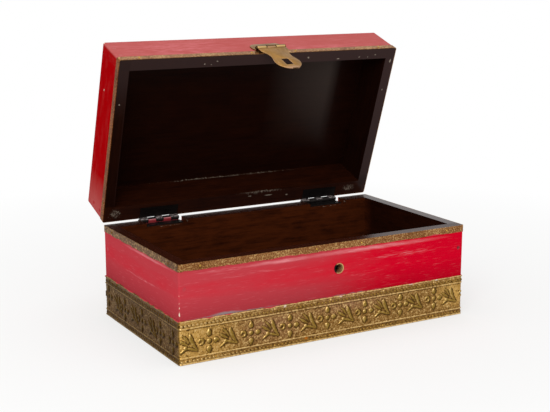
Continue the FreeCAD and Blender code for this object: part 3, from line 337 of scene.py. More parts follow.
def lid_paint(tree, at, over_x, unevenness, lines):
    """Red of the lid, faded by the sun: most on its front, whose chalky red is also painted sheen of the
    light above, less on its ends, and a little elsewhere.
    """
    colours = bpy.context.scene.jewellery_box.colours
    _, y, _ = put(tree, "SeparateXYZ", at).node.outputs
    # The lid's front is paler: faded paint, and painted sheen of the light above
    front = put(tree, "MapRange", y, 2.5 - HALF_WIDTH, 0.5 - HALF_WIDTH, 0.0, 0.92)
    behind = put(tree, "MapRange", y, 38.0, 76.0, -0.08, 0.72)
    ends = put(tree, "MapRange", over_x, -1.0, 0.0)
    behind = put(tree, "Mix", {0: ends, 2: 0.2, 3: behind})
    fading_and_sheen = put(tree, "Math", front, behind, operation="MAXIMUM")
    fading_and_sheen = put(tree, "Math", unevenness, 0.2, fading_and_sheen, operation="MULTIPLY_ADD", use_clamp=True)
    paint = put(tree, "Mix", {
        0: fading_and_sheen, 6: opaque(colours.paint_lid), 7: opaque(colours.paint_chalk_sheen)}, **COLOUR_MIX)
    streak = blots(tree, ragged(tree, at, 2.0, 20), LID_STREAKS, 0.9)
    streak = put(tree, "Math", front, 0.25, streak, operation="MULTIPLY_ADD")
    pale = dry_brushed(tree, lines, streak)
    pale = put(tree, "Math", pale, fading_and_sheen, operation="MULTIPLY")
    return put(tree, "Mix", {0: pale, 6: paint, 7: opaque(colours.paint_streak)}, **COLOUR_MIX)


def base_paint(tree, at, unevenness, lines):
    """Red of the base, faded towards its left, where the paler red is also painted sheen, and most above and
    below the middle of the painted wall.
    """
    colours = bpy.context.scene.jewellery_box.colours
    x, _, z = put(tree, "SeparateXYZ", at).node.outputs
    # Paler towards the left: faded paint, and painted sheen of a light at that side
    leftward = put(tree, "MapRange", x, -110.0, 90.0, 0.8, -0.05)
    wall_middle = 65.0
    level = put(tree, "Math", z, wall_middle, operation="SUBTRACT")
    level = put(tree, "Math", level, operation="ABSOLUTE")
    level = put(tree, "MapRange", level, 4.0, 14.0, 0.0, 0.5)
    edges = put(tree, "MapRange", x, -20.0, 50.0, 1.0, 0.0)
    fading_and_sheen = put(tree, "Math", level, edges, leftward, operation="MULTIPLY_ADD")
    fading_and_sheen = put(tree, "Math", unevenness, 0.3, fading_and_sheen, operation="MULTIPLY_ADD", use_clamp=True)
    paint = put(tree, "Mix", {
        0: fading_and_sheen, 6: opaque(colours.paint_deep), 7: opaque(colours.paint_faded)}, **COLOUR_MIX)
    soil = put(tree, "MapRange", z, 60.0, 41.0, 0.0, 0.25)
    paint = put(tree, "Mix", {0: soil, 6: paint, 7: (0, 0, 0, 1)}, **COLOUR_MIX)
    streak = blots(tree, ragged(tree, at, 1.0, 12), BASE_STREAKS, 0.8)
    pale = dry_brushed(tree, lines, streak)
    rubbed = blots(tree, ragged(tree, at, 0.9, 14), BASE_RUBBED, 0.9)
    rubbed = put(tree, "Math", rubbed, lines, operation="MULTIPLY")
    pale = put(tree, "Math", rubbed, 1.7, pale, operation="MULTIPLY_ADD", use_clamp=True)
    paint = put(tree, "Mix", {0: pale, 6: paint, 7: opaque(colours.paint_streak)}, **COLOUR_MIX)
    smear = blots(tree, ragged(tree, at, 0.8, 5), BASE_SMEARS, 0.6)
    return put(tree, "Mix", {0: smear, 6: paint, 7: opaque(colours.smear)}, **COLOUR_MIX)


def chipped_paint(tree, at, over, marks):
    """Where paint has chipped off down to the primer: along the arrises, and at some marks."""
    over_x, over_y, over_z = over
    sides = put(tree, "Math", over_x, over_y, operation="MAXIMUM")
    corner = put(tree, "Math", over_x, over_y, operation="MINIMUM")
    upper = put(tree, "Math", sides, over_z, operation="MINIMUM")
    arris = put(tree, "Math", corner, upper, operation="MAXIMUM")
    chips = put(tree, "TexNoise", {"Vector": at, "Scale": 1 / 3.5, "Detail": 3.0, "Roughness": 0.65})
    worn = put(tree, "Math", arris, 0.16, chips, operation="MULTIPLY_ADD")
    chipped = put(tree, "MapRange", worn, 0.72, 0.76)
    on_arris = put(tree, "Math", arris, -0.3, operation="GREATER_THAN")
    chipped = put(tree, "Math", chipped, on_arris, operation="MULTIPLY")
    flaked = blots(tree, ragged(tree, at, 1.2, 2.5), marks, 0.4)
    return put(tree, "Math", chipped, flaked, operation="MAXIMUM")


def lid_reflection(tree, x, y):
    """Painted reflection on the varnish of the lid's inside, with a sharper right edge."""
    rise = put(tree, "MapRange", x, 30.0, 98.0, 0.0, 0.45)
    fall = put(tree, "MapRange", x, 114.0, 102.0)
    fade = put(tree, "MapRange", y, 45.0, -45.0)
    painted_reflection = put(tree, "Math", rise, fall, operation="MULTIPLY")
    return put(tree, "Math", painted_reflection, fade, operation="MULTIPLY")


def lid_rim_wear(tree, x, y):
    """How worn the lid's rim is: less towards the left, and least where the hinges are."""
    bare = put(tree, "MapRange", x, 12.0 - HALF_LENGTH, 40.0, 0.62, 1.0)
    left = put(tree, "MapRange", x, 9.0 - HALF_LENGTH, 11.0 - HALF_LENGTH)
    ahead = put(tree, "MapRange", y, -25.0, -65.0, 0.0, 0.7)
    left = put(tree, "Math", left, ahead, operation="MAXIMUM")
    bare = put(tree, "Math", bare, left, operation="MULTIPLY")
    hinged = put(tree, "MapRange", y, 60.0, 70.0, 1.0, 0.2)
    return put(tree, "Math", bare, hinged, operation="MULTIPLY")


def loose_stain(tree, at, on_rim, on_lid):
    """Pale specks, scuffed edges and flecks where the stain has come off."""
    specks = put(tree, "TexNoise", {"Vector": at, "Scale": 1 / 1.6, "Detail": 4.0, "Roughness": 0.75})
    scuffs = blots(tree, ragged(tree, at, 1.5, 5), LID_SCUFFS if on_lid else HINGE_CUT_EDGES, 0.6)
    loose = put(tree, "Math", scuffs, 0.22, specks, operation="MULTIPLY_ADD")
    loose = put(tree, "MapRange", loose, 0.68, 0.86, 0.0, 0.34)
    near_rim = put(tree, "Math", on_rim, scuffs, operation="MAXIMUM")
    loose = put(tree, "Math", loose, near_rim, operation="MULTIPLY")
    if not on_lid:
        return loose
    flecks = blots(tree, ragged(tree, at, 0.7, 2), LID_FLECKS, 0.5)
    flecks = put(tree, "Math", flecks, 0.35, operation="MULTIPLY")
    return put(tree, "Math", loose, flecks, operation="MAXIMUM")


def stained_wood(tree, at, on_rim, on_lid, pattern):
    """Dark stained wood with its grain, browner on the back walls, and worn on the rims."""
    colours = bpy.context.scene.jewellery_box.colours
    x, y, _ = put(tree, "SeparateXYZ", at).node.outputs
    start, least, most = (67.0, 0.1, 0.32) if on_lid else (55.0, 0.25, 1.0)
    brown = put(tree, "MapRange", y, start, 68.5, least, most)
    vary = put(tree, "Math", pattern["grain"], pattern["clouds"], operation="ADD")
    vary = put(tree, "MapRange", vary, 0.7, 1.25, 0.25, 1.25)
    brown = put(tree, "Math", brown, vary, operation="MULTIPLY", use_clamp=True)
    wood = put(tree, "Mix", {
        0: brown, 6: opaque(colours.stain_dark), 7: opaque(colours.stain_brown)}, **COLOUR_MIX)
    worn = on_rim
    if on_lid:
        # Painted reflection on the lid's inside
        wood = put(tree, "Mix", {0: lid_reflection(tree, x, y), 6: wood, 7: opaque(colours.varnish_reflection)}, **COLOUR_MIX)
        worn = put(tree, "Math", on_rim, lid_rim_wear(tree, x, y), operation="MULTIPLY")
    worn_stain = colours.stain_rim if on_lid else colours.stain_sill
    wood = put(tree, "Mix", {0: worn, 6: wood, 7: opaque(worn_stain)}, **COLOUR_MIX)
    loose = loose_stain(tree, at, on_rim, on_lid)
    return put(tree, "Mix", {0: loose, 6: wood, 7: opaque(colours.primer)}, **COLOUR_MIX)


def painted_wood(name, on_lid, along_x):
    """Brush-painted mango wood: streaky faded red outside, chipped at the arrises, dark varnish inside."""
    material, tree, at, colours = start_finish(name, on_lid)
    _, _, z = put(tree, "SeparateXYZ", at).node.outputs
    # Depth below the outside faces tells painted skin from stained wood
    rim = BASE_RIM + LID_GAP if on_lid else BASE_RIM
    top = rim + LID_HEIGHT if on_lid else NO_TOP
    shell = [face - SKIN_DEPTH for face in (HALF_LENGTH, HALF_WIDTH, top)]
    size = put(tree, "VectorMath", at, operation="ABSOLUTE")
    over = put(tree, "VectorMath", size, shell, operation="SUBTRACT")
    over_x, over_y, over_z = put(tree, "SeparateXYZ", over).node.outputs
    skin = put(tree, "Math", over_x, over_y, operation="MAXIMUM")
    skin = put(tree, "Math", skin, over_z, operation="MAXIMUM")
    off_rim = put(tree, "Math", z, rim, operation="SUBTRACT")
    off_rim = put(tree, "Math", off_rim, operation="ABSOLUTE")
    on_rim = put(tree, "MapRange", off_rim, 0.5, 0.2)
    beyond_rim = put(tree, "Math", off_rim, RIM_EDGE, operation="GREATER_THAN")
    outside = put(tree, "Math", skin, 0.0, operation="GREATER_THAN")
    outside = put(tree, "Math", outside, beyond_rim, operation="MULTIPLY")
    pattern = wood_patterns(tree, at, along_x)
    uneven = put(tree, "Math", pattern["clouds"], 2.2, -1.1, operation="MULTIPLY_ADD")
    streaky = put(tree, "Math", pattern["strokes"], 1.6, -0.8, operation="MULTIPLY_ADD")
    unevenness = put(tree, "Math", uneven, streaky, operation="ADD")
    if on_lid:
        paint = lid_paint(tree, at, over_x, unevenness, pattern["lines"])
    else:
        paint = base_paint(tree, at, unevenness, pattern["lines"])
    chipped = chipped_paint(tree, at, (over_x, over_y, over_z), LID_CHIPS if on_lid else BASE_CHIPS)
    paint = put(tree, "Mix", {0: chipped, 6: paint, 7: opaque(colours.primer)}, **COLOUR_MIX)
    wood = stained_wood(tree, at, on_rim, on_lid, pattern)
    colour = put(tree, "Mix", {0: outside, 6: wood, 7: paint}, **COLOUR_MIX)
    # Matt paint, thin varnish inside, and a thicker coat of it on the rims
    coat = 0.2 if on_lid else 0.5 if along_x else 0.7
    varnish = put(tree, "MapRange", on_rim, 0.0, 1.0, 0.08, coat)
    varnish = put(tree, "Mix", {0: outside, 2: varnish, 3: 0.03 if along_x else 0.01})
    roughness = put(tree, "MapRange", unevenness, -0.5, 0.5, 0.42, 0.6)
    end_finish(tree, (pattern["strokes"], 0.35, 0.4), {
        "Base Color": colour, "Roughness": roughness, "Specular IOR Level": 0.0,
        "Coat Weight": varnish, "Coat Roughness": 0.26})
    return material


# Marks on the band: drops of pale paint on its upper edge, and a spot of rust at its foot
BAND_DROPS = [
    ((-47.5, -85, 38), (1.8, 4, 1.7)), ((11, -85, 38.4), (2.2, 4, 1.0)), ((89, -85, 38.8), (3.0, 4, 0.8)),
    ((119, -85, 38.6), (2.0, 4, 0.9)),
]
BAND_RUST = [((-25.5, -85, 4.4), (2.4, 4, 2.0))]
# Stretches of the band's ground that are rosy, and paler ones near its ends
ROSY_GROUND = [((-62, -85, 22), (52, 20, 18)), ((20, -85, 30), (60, 20, 12))]
PALE_GROUND = [((-144, -85, 20), (64, 8, 34)), ((138, -85, 22), (26, 8, 18))]
# Sizes of the speckle, dots and pits that stand for punch marks. The real ones are finer, and these show in
# the picture.
SPECKLE_SIZE = 1.7
STRIP_DOT = 1.1
STRIP_PIT = 2.0
# Size of the scratches on plain brass along each axis
SCRATCH_SIZE = (0.8, 0.8, 12)


def shaded_left_end(tree, x, edge, colour, tint, most=1.0):
    """Lays painted shade over the brass at the box's left end, as a darker, duller tint. It rises between two
    distances from that end.
    """
    left_shade = put(tree, "MapRange", x, edge[0] - HALF_LENGTH, edge[1] - HALF_LENGTH, 0.0, most)
    colour = put(tree, "Mix", {0: left_shade, 6: colour, 7: opaque(tint)}, **COLOUR_MIX, blend_type="MULTIPLY")
    return left_shade, colour


def lapped(tree, level, edge, colour, metal):
    """Lays the red paint that was brushed over a sheet, between the two levels of its edge."""
    red = bpy.context.scene.jewellery_box.colours.paint_faded
    lap = put(tree, "MapRange", level, edge[0], edge[1])
    colour = put(tree, "Mix", {0: lap, 6: colour, 7: opaque(red)}, **COLOUR_MIX)
    metal = put(tree, "Math", metal, lap, operation="SUBTRACT", use_clamp=True)
    return colour, metal


def embossed_brass():
    """Hand-pressed brass sheet: golden where rubbed, brown in the hollows, with painted light and shade on
    its relief and painted shade at the left end.
    """
    material, tree, at, colours = start_finish("embossed_brass_sheet", False)
    x, _, z = put(tree, "SeparateXYZ", at).node.outputs
    # Stored tone of the sheet: rubbing and tarnish, with painted light and shade of its relief
    wear_and_shading = put(tree, "Attribute", out="Fac", attribute_name="wear_and_shading")
    motif = put(tree, "Attribute", out="Fac", attribute_name="motif")
    speckle = put(tree, "TexNoise", {
        "Vector": at, "Scale": 1 / SPECKLE_SIZE, "Detail": 1.5, "Roughness": 0.6})
    bloom = put(tree, "TexNoise", {"Vector": at, "Scale": 1 / 14, "Detail": 4.0, "Roughness": 0.6})
    level = put(tree, "Math", speckle, 1.4, -0.7, operation="MULTIPLY_ADD")
    level = put(tree, "Math", level, wear_and_shading, operation="ADD")
    # Colour of the flat ground, which changes along the band. The motifs stay olive.
    ground = opaque(colours.brass_ground)
    for patches, tint, most in (
            (ROSY_GROUND, colours.brass_rosy, 0.8), (PALE_GROUND, colours.brass_pale, 1.0)):
        cover = blots(tree, at, patches, 1.0)
        cover = put(tree, "Math", cover, bloom, operation="MULTIPLY")
        cover = put(tree, "Math", cover, 2 * most, operation="MULTIPLY", use_clamp=True)
        ground = put(tree, "Mix", {0: cover, 6: ground, 7: opaque(tint)}, **COLOUR_MIX)
    colour = put(tree, "Mix", {0: motif, 6: ground, 7: opaque(colours.brass_olive)}, **COLOUR_MIX)
    # Darker and paler brass from the stored tone: tarnish and rubbing, with painted light and shade on the
    # relief
    lower = put(tree, "MapRange", level, -0.1, -1.0)
    upper = put(tree, "MapRange", level, 0.1, 1.2)
    drops = blots(tree, ragged(tree, at, 0.6, 2), BAND_DROPS, 0.5)
    rust = blots(tree, ragged(tree, at, 0.6, 2), BAND_RUST, 0.5)
    for cover, tint in (
            (lower, colours.brass_recess), (upper, colours.brass_high), (drops, colours.primer),
            (rust, colours.rust)):
        colour = put(tree, "Mix", {0: cover, 6: colour, 7: opaque(tint)}, **COLOUR_MIX)
    # Painted shade at the left end, with less metal there
    left_shade, colour = shaded_left_end(tree, x, (0.4, -0.4), colour, colours.brass_left_shade)
    metal = put(tree, "MapRange", left_shade, 0.0, 1.0, 1.0, 0.3)
    lap = put(tree, "Math", bloom, 5.0, z, operation="MULTIPLY_ADD")
    colour, metal = lapped(tree, lap, (BAND_HIGH + 2.3, BAND_HIGH + 2.6), colour, metal)
    roughness = put(tree, "MapRange", level, -1.0, 1.0, 0.62, 0.36)
    end_finish(tree, (speckle, 0.4, 0.3), {
        "Base Color": colour, "Metallic": metal, "Roughness": roughness, "Specular IOR Level": 0.05})
    return material


def stippled_brass(name, on_lid):
    """Brass strip punched all over with fine dots: a soft brown-gold glitter, with painted shade at the left
    end.
    """
    material, tree, at, colours = start_finish(name, on_lid)
    x, _, z = put(tree, "SeparateXYZ", at).node.outputs
    dots = put(tree, "TexVoronoi", {"Vector": at, "Scale": 1 / STRIP_DOT}, out="Distance")
    bloom = put(tree, "TexNoise", {"Vector": at, "Scale": 1 / 16, "Detail": 4.0, "Roughness": 0.6})
    level = put(tree, "Math", bloom, 0.8, dots, operation="MULTIPLY_ADD")
    lower = put(tree, "MapRange", level, 0.86, 0.5, 0.0, 0.85)
    upper = put(tree, "MapRange", level, 0.9, 1.25, 0.0, 0.55)
    colour = opaque(colours.brass_strip)
    for cover, tint in ((lower, colours.brass_recess), (upper, colours.brass_high)):
        colour = put(tree, "Mix", {0: cover, 6: colour, 7: opaque(tint)}, **COLOUR_MIX)
    # Painted shade at the left end, in full on the lid's strip
    tint, most = (colours.lid_left_shade, 1.0) if on_lid else (colours.brass_left_shade, 0.6)
    left_shade, colour = shaded_left_end(tree, x, (0.6, -0.2), colour, tint, most)
    metal = put(tree, "MapRange", left_shade, 0.0, 1.0, 1.0, 0.3)
    if not on_lid:
        # Dirty pits within the painted shade at the left end
        pits = put(tree, "TexVoronoi", {"Vector": at, "Scale": 1 / STRIP_PIT}, out="Distance")
        for start, end, full, pit_tint in (
                (0.6, 0.85, 0.6, opaque(colours.brass_high)),
                (0.6, 0.25, 1.0, opaque(colours.brass_recess, 0.3))):
            cover = put(tree, "MapRange", pits, start, end, 0.0, full)
            cover = put(tree, "Math", cover, left_shade, operation="MULTIPLY")
            colour = put(tree, "Mix", {0: cover, 6: colour, 7: pit_tint}, **COLOUR_MIX)
        lap = put(tree, "Math", bloom, -6.0, z, operation="MULTIPLY_ADD")
        colour, metal = lapped(tree, lap, (STRIP_LOW - 2.6, STRIP_LOW - 2.9), colour, metal)
    end_finish(tree, (dots, 0.5, 0.3), {
        "Base Color": colour, "Metallic": metal, "Roughness": 0.45, "Specular IOR Level": 0.05})
    return material


def knuckle_light(tree, crest):
    """Painted highlight on the crest of the hasp's knuckles, and painted shade behind it and where two meet.
    """
    middle = [c / MM for c in HASP_JOINT["pos_m"]]
    axis = HASP_JOINT["axis"]
    off = put(tree, "VectorMath", place_in_mm(tree, False), middle, operation="SUBTRACT")
    run = put(tree, "VectorMath", off, axis, out="Value", operation="DOT_PRODUCT")
    along = put(tree, "VectorMath", {0: axis, "Scale": run}, operation="SCALE")
    spoke = put(tree, "VectorMath", off, along, operation="SUBTRACT")
    distance = put(tree, "VectorMath", spoke, out="Value", operation="LENGTH")
    on_barrel = put(tree, "MapRange", distance, 2.3, 2.0)
    facing = put(tree, "VectorMath", spoke, crest, out="Value", operation="DOT_PRODUCT")
    shine = put(tree, "MapRange", facing, 1.55, 1.85)
    shine = put(tree, "Math", shine, on_barrel, operation="MULTIPLY")
    shade = put(tree, "MapRange", facing, 1.5, 1.0)
    reach = put(tree, "Math", run, operation="ABSOLUTE")
    meeting = put(tree, "Math", reach, 5.2, 0.5, operation="COMPARE")
    shade = put(tree, "Math", shade, meeting, operation="MAXIMUM")
    shade = put(tree, "Math", shade, on_barrel, operation="MULTIPLY")
    return shine, shade


def rolled_brass(name, on_lid, tint, bright=(), dark=(), metal=1.0, crest=None, pale_tint=None):
    """Plain rolled brass: soft sheen with faint scratches, rubbed pale along edges and in bright places, and
    painted light and shade where given.
    """
    material, tree, at, colours = start_finish(name, on_lid)
    x, _, _ = put(tree, "SeparateXYZ", at).node.outputs
    rubbed = put(tree, "Attribute", out="Fac", attribute_name="rub")
    scale = [1 / size for size in SCRATCH_SIZE]
    scratch_at = put(tree, "VectorMath", at, scale, operation="MULTIPLY")
    scratches = put(tree, "TexNoise", {"Vector": scratch_at, "Scale": 1.0, "Detail": 2.0})
    clouds = put(tree, "TexNoise", {"Vector": at, "Scale": 1 / 9, "Detail": 4.0, "Roughness": 0.6})
    tarnish = put(tree, "MapRange", clouds, 0.45, 0.75, 0.0, 0.6)
    pale = put(tree, "MapRange", scratches, 0.55, 0.8, 0.0, 0.35)
    coats = []
    # Given bright places: brighter brass, a painted highlight on the hasp's tip and painted light in the
    # socket's mouth
    if bright:
        shown = blots(tree, at, bright, 0.9)
        rubbed = put(tree, "Math", rubbed, shown, operation="MAXIMUM")
    # Painted highlight and shade on the hasp's knuckles: the highlight joins the pale rubbed places, the
    # shade is dark brass
    if crest:
        shine, shade = knuckle_light(tree, crest)
        rubbed = put(tree, "Math", rubbed, shine, operation="MAXIMUM")
        coats.append((shade, opaque(colours.brass_recess, 0.2)))
    # Darker patches in the colour of iron: painted shadow on the socket
    if dark:
        coats.append((blots(tree, at, dark, 0.3), opaque(colours.iron)))
    pale = put(tree, "Math", rubbed, 0.75, pale, operation="MULTIPLY_ADD", use_clamp=True)
    colour = opaque(tint)
    for cover, coat in (
            (tarnish, opaque(colours.brass_recess)), (pale, opaque(pale_tint or colours.brass_high)), *coats):
        colour = put(tree, "Mix", {0: cover, 6: colour, 7: coat}, **COLOUR_MIX)
    # Painted shade at the box's left end
    _, colour = shaded_left_end(tree, x, (0.6, -0.2), colour, colours.brass_left_shade)
    roughness = put(tree, "MapRange", clouds, 0.3, 0.7, 0.36, 0.5)
    end_finish(tree, (scratches, 0.15, 0.15), {
        "Base Color": colour, "Metallic": metal, "Roughness": roughness, "Specular IOR Level": 0.1})
    return material


def blackened_iron(name, knuckles):
    """Forged iron blackened by handling: dark and slightly rough, with painted highlights on the knuckles'
    tops or red paint on them.
    """
    material, tree, at, colours = start_finish(name, False)
    _, y, z = put(tree, "SeparateXYZ", at).node.outputs
    _, axis_y, axis_z = LID_AXIS
    scale = put(tree, "TexNoise", {"Vector": at, "Scale": 1 / 1.8, "Detail": 4.0, "Roughness": 0.6})
    colour = put(tree, "Mix", {
        0: scale, 6: opaque(colours.iron), 7: opaque(colours.iron, 2.5)}, **COLOUR_MIX)
    metal = 0.85
    if knuckles == "bare":
        # Painted highlight: the tops of the knuckles are lighter in short dashes
        top = put(tree, "MapRange", z, axis_z + 1.3, axis_z + 1.9)
        dashes = put(tree, "MapRange", scale, 0.42, 0.52)
        worn = put(tree, "Math", top, dashes, operation="MULTIPLY")
        near = put(tree, "Math", z, axis_z + 3.2, operation="LESS_THAN")
        worn = put(tree, "Math", worn, near, operation="MULTIPLY")
        colour = put(tree, "Mix", {0: worn, 6: colour, 7: opaque(colours.iron_highlight)}, **COLOUR_MIX)
    if knuckles == "painted":
        # Old red paint on the lower front of the knuckles, with a painted pale highlight along its upper edge
        front = put(tree, "Math", y, axis_y - 4.6, operation="GREATER_THAN")
        low = put(tree, "MapRange", z, axis_z + 1.6, axis_z + 1.2)
        painted = put(tree, "Math", front, low, operation="MULTIPLY")
        edge = put(tree, "MapRange", z, axis_z + 0.7, axis_z + 1.1, 0.0, 0.8)
        red = put(tree, "Mix", {
            0: edge, 6: opaque(colours.paint_grime), 7: opaque(colours.paint_streak)}, **COLOUR_MIX)
        colour = put(tree, "Mix", {0: painted, 6: colour, 7: red}, **COLOUR_MIX)
        metal = put(tree, "Math", metal, painted, operation="SUBTRACT", use_clamp=True)
    roughness = put(tree, "MapRange", scale, 0.3, 0.7, 0.35, 0.6)
    end_finish(tree, (scale, 0.3, 0.2), {"Base Color": colour, "Metallic": metal, "Roughness": roughness})
    return material


def painted_iron(name, on_lid):
    """Nail heads under the box's red paint: the wall's colour, a little darker where rust shows through."""
    material, tree, at, colours = start_finish(name, on_lid)
    x, y, _ = put(tree, "SeparateXYZ", at).node.outputs
    rust = put(tree, "TexNoise", {"Vector": at, "Scale": 1 / 2.5, "Detail": 3.0, "Roughness": 0.6})
    bare = put(tree, "MapRange", rust, 0.4, 0.6, 0.3, 1.0)
    right = put(tree, "MapRange", x, 0.0, 130.0, 0.06, 0.8)
    bare = put(tree, "Math", bare, right, operation="MULTIPLY")
    red = opaque(colours.paint_faded)
    if on_lid:
        # Nails on the lid's front take its chalky red, with the same painted sheen
        front = put(tree, "Math", y, 2.5 - HALF_WIDTH, operation="LESS_THAN")
        red = put(tree, "Mix", {
            0: front, 6: opaque(colours.paint_lid), 7: opaque(colours.paint_chalk_sheen)}, **COLOUR_MIX)
        bare = put(tree, "Math", bare, 0.3, operation="MULTIPLY")
    colour = put(tree, "Mix", {0: bare, 6: red, 7: opaque(colours.iron)}, **COLOUR_MIX)
    end_finish(tree, (rust, 0.3, 0.2), {"Base Color": colour, "Roughness": 0.55, "Specular IOR Level": 0.08})
    return material


def dress(material, *nodes):
    """Gives pieces of the frame a finish."""
    for name in nodes:
        node = frame["nodes"].get(name)
        if node is None:
            raise RuntimeError(f"the frame has no piece named {name}")
        if not node.material_slots:
            node.data.materials.append(material)
        for slot in node.material_slots:
            slot.material = material


def add_object(name, data):
    """A new object in the scene."""
    made = bpy.data.objects.new(name, data)
    bpy.context.scene.collection.objects.link(made)
    return made


def turn_lid(points, angle):
    """Points turned about the lid's hinge. LID_ANGLE shuts the open lid, and -LID_ANGLE opens it again."""
    turn = np.array(Matrix.Rotation(angle, 3, "X"))
    return (points - LID_AXIS) @ turn.T + LID_AXIS


# Points on a rounded corner of the walls, with those at the ends of its straight runs
CORNER_POINTS = 8


def wall_path(legs, step):
    """Points, outward normals and lengths along the walls. Legs are straight runs joined by rounded corners.

    Each leg is its start, its end and its outward normal."""
    places, normals = [], []
    for number, (start, end, normal) in enumerate(legs):
        start, end = np.array(start, float), np.array(end, float)
        count = max(2, round(np.linalg.norm(end - start) / step) + 1)
        share = np.linspace(0, 1, count)[:, None]
        places.append(start + (end - start) * share)
        normals.append(np.repeat([normal], count, axis=0))
        if number + 1 < len(legs):
            turn_from = math.atan2(normal[1], normal[0])
            middle = end - EDGE_ROUND * np.array(normal)
            angles = turn_from + np.linspace(0, math.pi / 2, CORNER_POINTS)[1:-1]
            around = np.stack([np.cos(angles), np.sin(angles)], axis=1)
            places.append(middle + EDGE_ROUND * around)
            normals.append(around)
    places, normals = np.concatenate(places), np.concatenate(normals)
    gaps = np.linalg.norm(np.diff(places, axis=0), axis=1)
    return places, normals, np.concatenate([[0.0], np.cumsum(gaps)])


def pressed_sheet(name, places, normals, up, heights):
    """A closed thin sheet on the walls. Its heights off the wall are by level and by point of the path."""
    rows, columns = heights.shape
    flat = places[None] + normals[None] * heights[..., None]
    levels = np.broadcast_to(up[:, None, None], (rows, columns, 1))
    front = np.concatenate([flat, levels], axis=2)
    back = [np.column_stack([places, np.full(columns, level)]) for level in (up[0], up[-1])]
    points = np.concatenate([front.reshape(-1, 3), *back])
    index = np.arange(rows * columns).reshape(rows, columns)
    low_back = rows * columns + np.arange(columns)
    high_back = low_back + columns
    corner = (index[:-1, :-1], index[:-1, 1:], index[1:, 1:], index[1:, :-1])
    faces = np.stack([c.ravel() for c in corner], axis=1).tolist()
    smooth = len(faces)
    for left, right in ((low_back, index[0]), (index[-1], high_back), (high_back, low_back)):
        faces += np.stack([left[:-1], left[1:], right[1:], right[:-1]], axis=1).tolist()
    faces.append([*index[::-1, 0].tolist(), int(low_back[0]), int(high_back[0])])
    faces.append([*index[:, -1].tolist(), int(high_back[-1]), int(low_back[-1])])
    mesh = bpy.data.meshes.new(name)
    mesh.from_pydata((points * MM).tolist(), [], faces)
    mesh.polygons.foreach_set("use_smooth", np.arange(len(faces)) < smooth)
    mesh.update()
    return add_object(name, mesh)


# Samples of a motif's stroke between two of its points
STROKE_SAMPLES = 12


def stroke(points):
    """Samples along a curved stroke of a motif. Points are (across, up, radius)."""
    points = np.array(points, float)
    share = np.linspace(0, len(points) - 1, STROKE_SAMPLES * (len(points) - 1) + 1)
    return np.stack([smooth_through(points[:, k], share) for k in range(3)], axis=1)


def smooth_through(values, share):
    """Values on a smooth curve through given ones."""
    padded = np.concatenate([[2 * values[0] - values[1]], values, [2 * values[-1] - values[-2]]])
    cell = np.minimum(share.astype(int), len(values) - 2)
    t = share - cell
    a, b, c, d = (padded[cell + k] for k in range(4))
    return b + 0.5 * t * (c - a + t * (2 * a - 5 * b + 4 * c - d + t * (3 * (b - c) + d - a)))


# The frieze's two motifs as strokes of (across, up, radius), about the flower's middle and the spray's bead
FLOWER = [
    [(0, 0, 2.0), (0.01, 0, 2.0)],
    [(0, 6.7, 2.3), (0, 7.4, 2.1), (0, 10.6, 0.3)],
    [(0, -6.9, 2.3), (0, -7.6, 2.1), (0, -10.8, 0.3)],
    [(-10.0, 0.2, 0.5), (-8.9, 2.0, 0.9), (-6.8, 2.1, 0.95), (-5.5, 0.3, 0.95), (-6.5, -1.7, 0.9),
     (-8.4, -1.9, 0.6)],
    [(6.5, 0, 2.2), (7.0, 0, 2.0), (9.4, 0, 0.4)],
]
SPRAY = [
    [(0, 0, 1.8), (0.01, 0, 1.8)],
    [(4.4, 11.0, 0.8), (4.8, 8.4, 1.7), (6.2, 4.8, 1.7), (8.2, 0.8, 1.3), (11.2, -3.0, 0.4)],
    [(-3.0, 11.6, 0.4), (0.2, 8.6, 1.0), (3.2, 4.4, 0.5)],
    [(-6.4, 8.0, 0.4), (-2.8, 5.4, 1.25), (1.8, 2.6, 0.5)],
    [(1.8, -0.4, 0.9), (5.4, -1.4, 1.1), (11.0, -3.6, 0.4)],
    [(-5.2, -4.0, 0.3), (-2.6, -2.2, 1.0), (-0.8, -0.8, 0.7)],
]
# Middles of the motifs along the sheets. The pattern of the front and back climbs a little towards its right.
LONG_FLOWERS = [
    (-163, 18.3), (-122.6, 18.5), (-81.6, 18.8), (-42, 19.2), (-3, 19.6), (37.5, 20.0), (77.5, 20.4),
    (117, 20.8), (157, 20.8),
]
LONG_SPRAYS = [
    (-145, 15.0), (-106.5, 15.0), (-65, 15.5), (-26, 16.0), (13.5, 16.4), (54, 16.6), (92, 17.0), (132, 17.0),
]
SHORT_FLOWERS = [(-36, 18.3), (4.3, 18.3), (44, 18.3)]
SHORT_SPRAYS = [(-54, 15.0), (-16, 15.0), (25, 15.0)]
# Border lines of the band: ridges with half their width, grooves, and rows of beads
RIDGES = [(38.6, 0.6), (32.2, 0.5), (6.2, 0.5), (0.9, 0.6)]
GROOVES = (33.2, 31.2, 7.2, 5.2)
BEAD_ROWS = (34.6, 2.9)
# The frieze between the borders, and the height from which a point belongs to a motif
FRIEZE_LOW, FRIEZE_HIGH = 7.0, 31.0
MOTIF_EDGE = 0.05
# Punched dots of the ground. The real ones are finer, and this size shows in the picture.
DOT_SPACING = 1.7
DOT_ROW_SHARE = 0.85
DOT_REACH = 0.85
DOT_DEPTH = 0.26
# How far hand work strays: motifs, dots, and the sheet's waves with their height, reach and noise
MOTIF_STRAY = 0.25
DOT_STRAY = 0.3
WAVE_HEIGHT, WAVE_REACH, WAVE_NOISE = 0.1, 9.0, 0.03
# Least and greatest height of a sheet, and least and greatest tone of its brass
SHEET_LIMITS = (0.15, 1.25)
TONE_LIMITS = (-1, 1.2)
# Reach of a motif's dark outline, of the slopes that get painted light and shade, and of the stipple, and a
# motif's softness
OUTLINE_REACH = 0.6
SLOPE_REACH = 0.5
STIPPLE_REACH = 0.4
MOTIF_SOFTNESS = 0.4
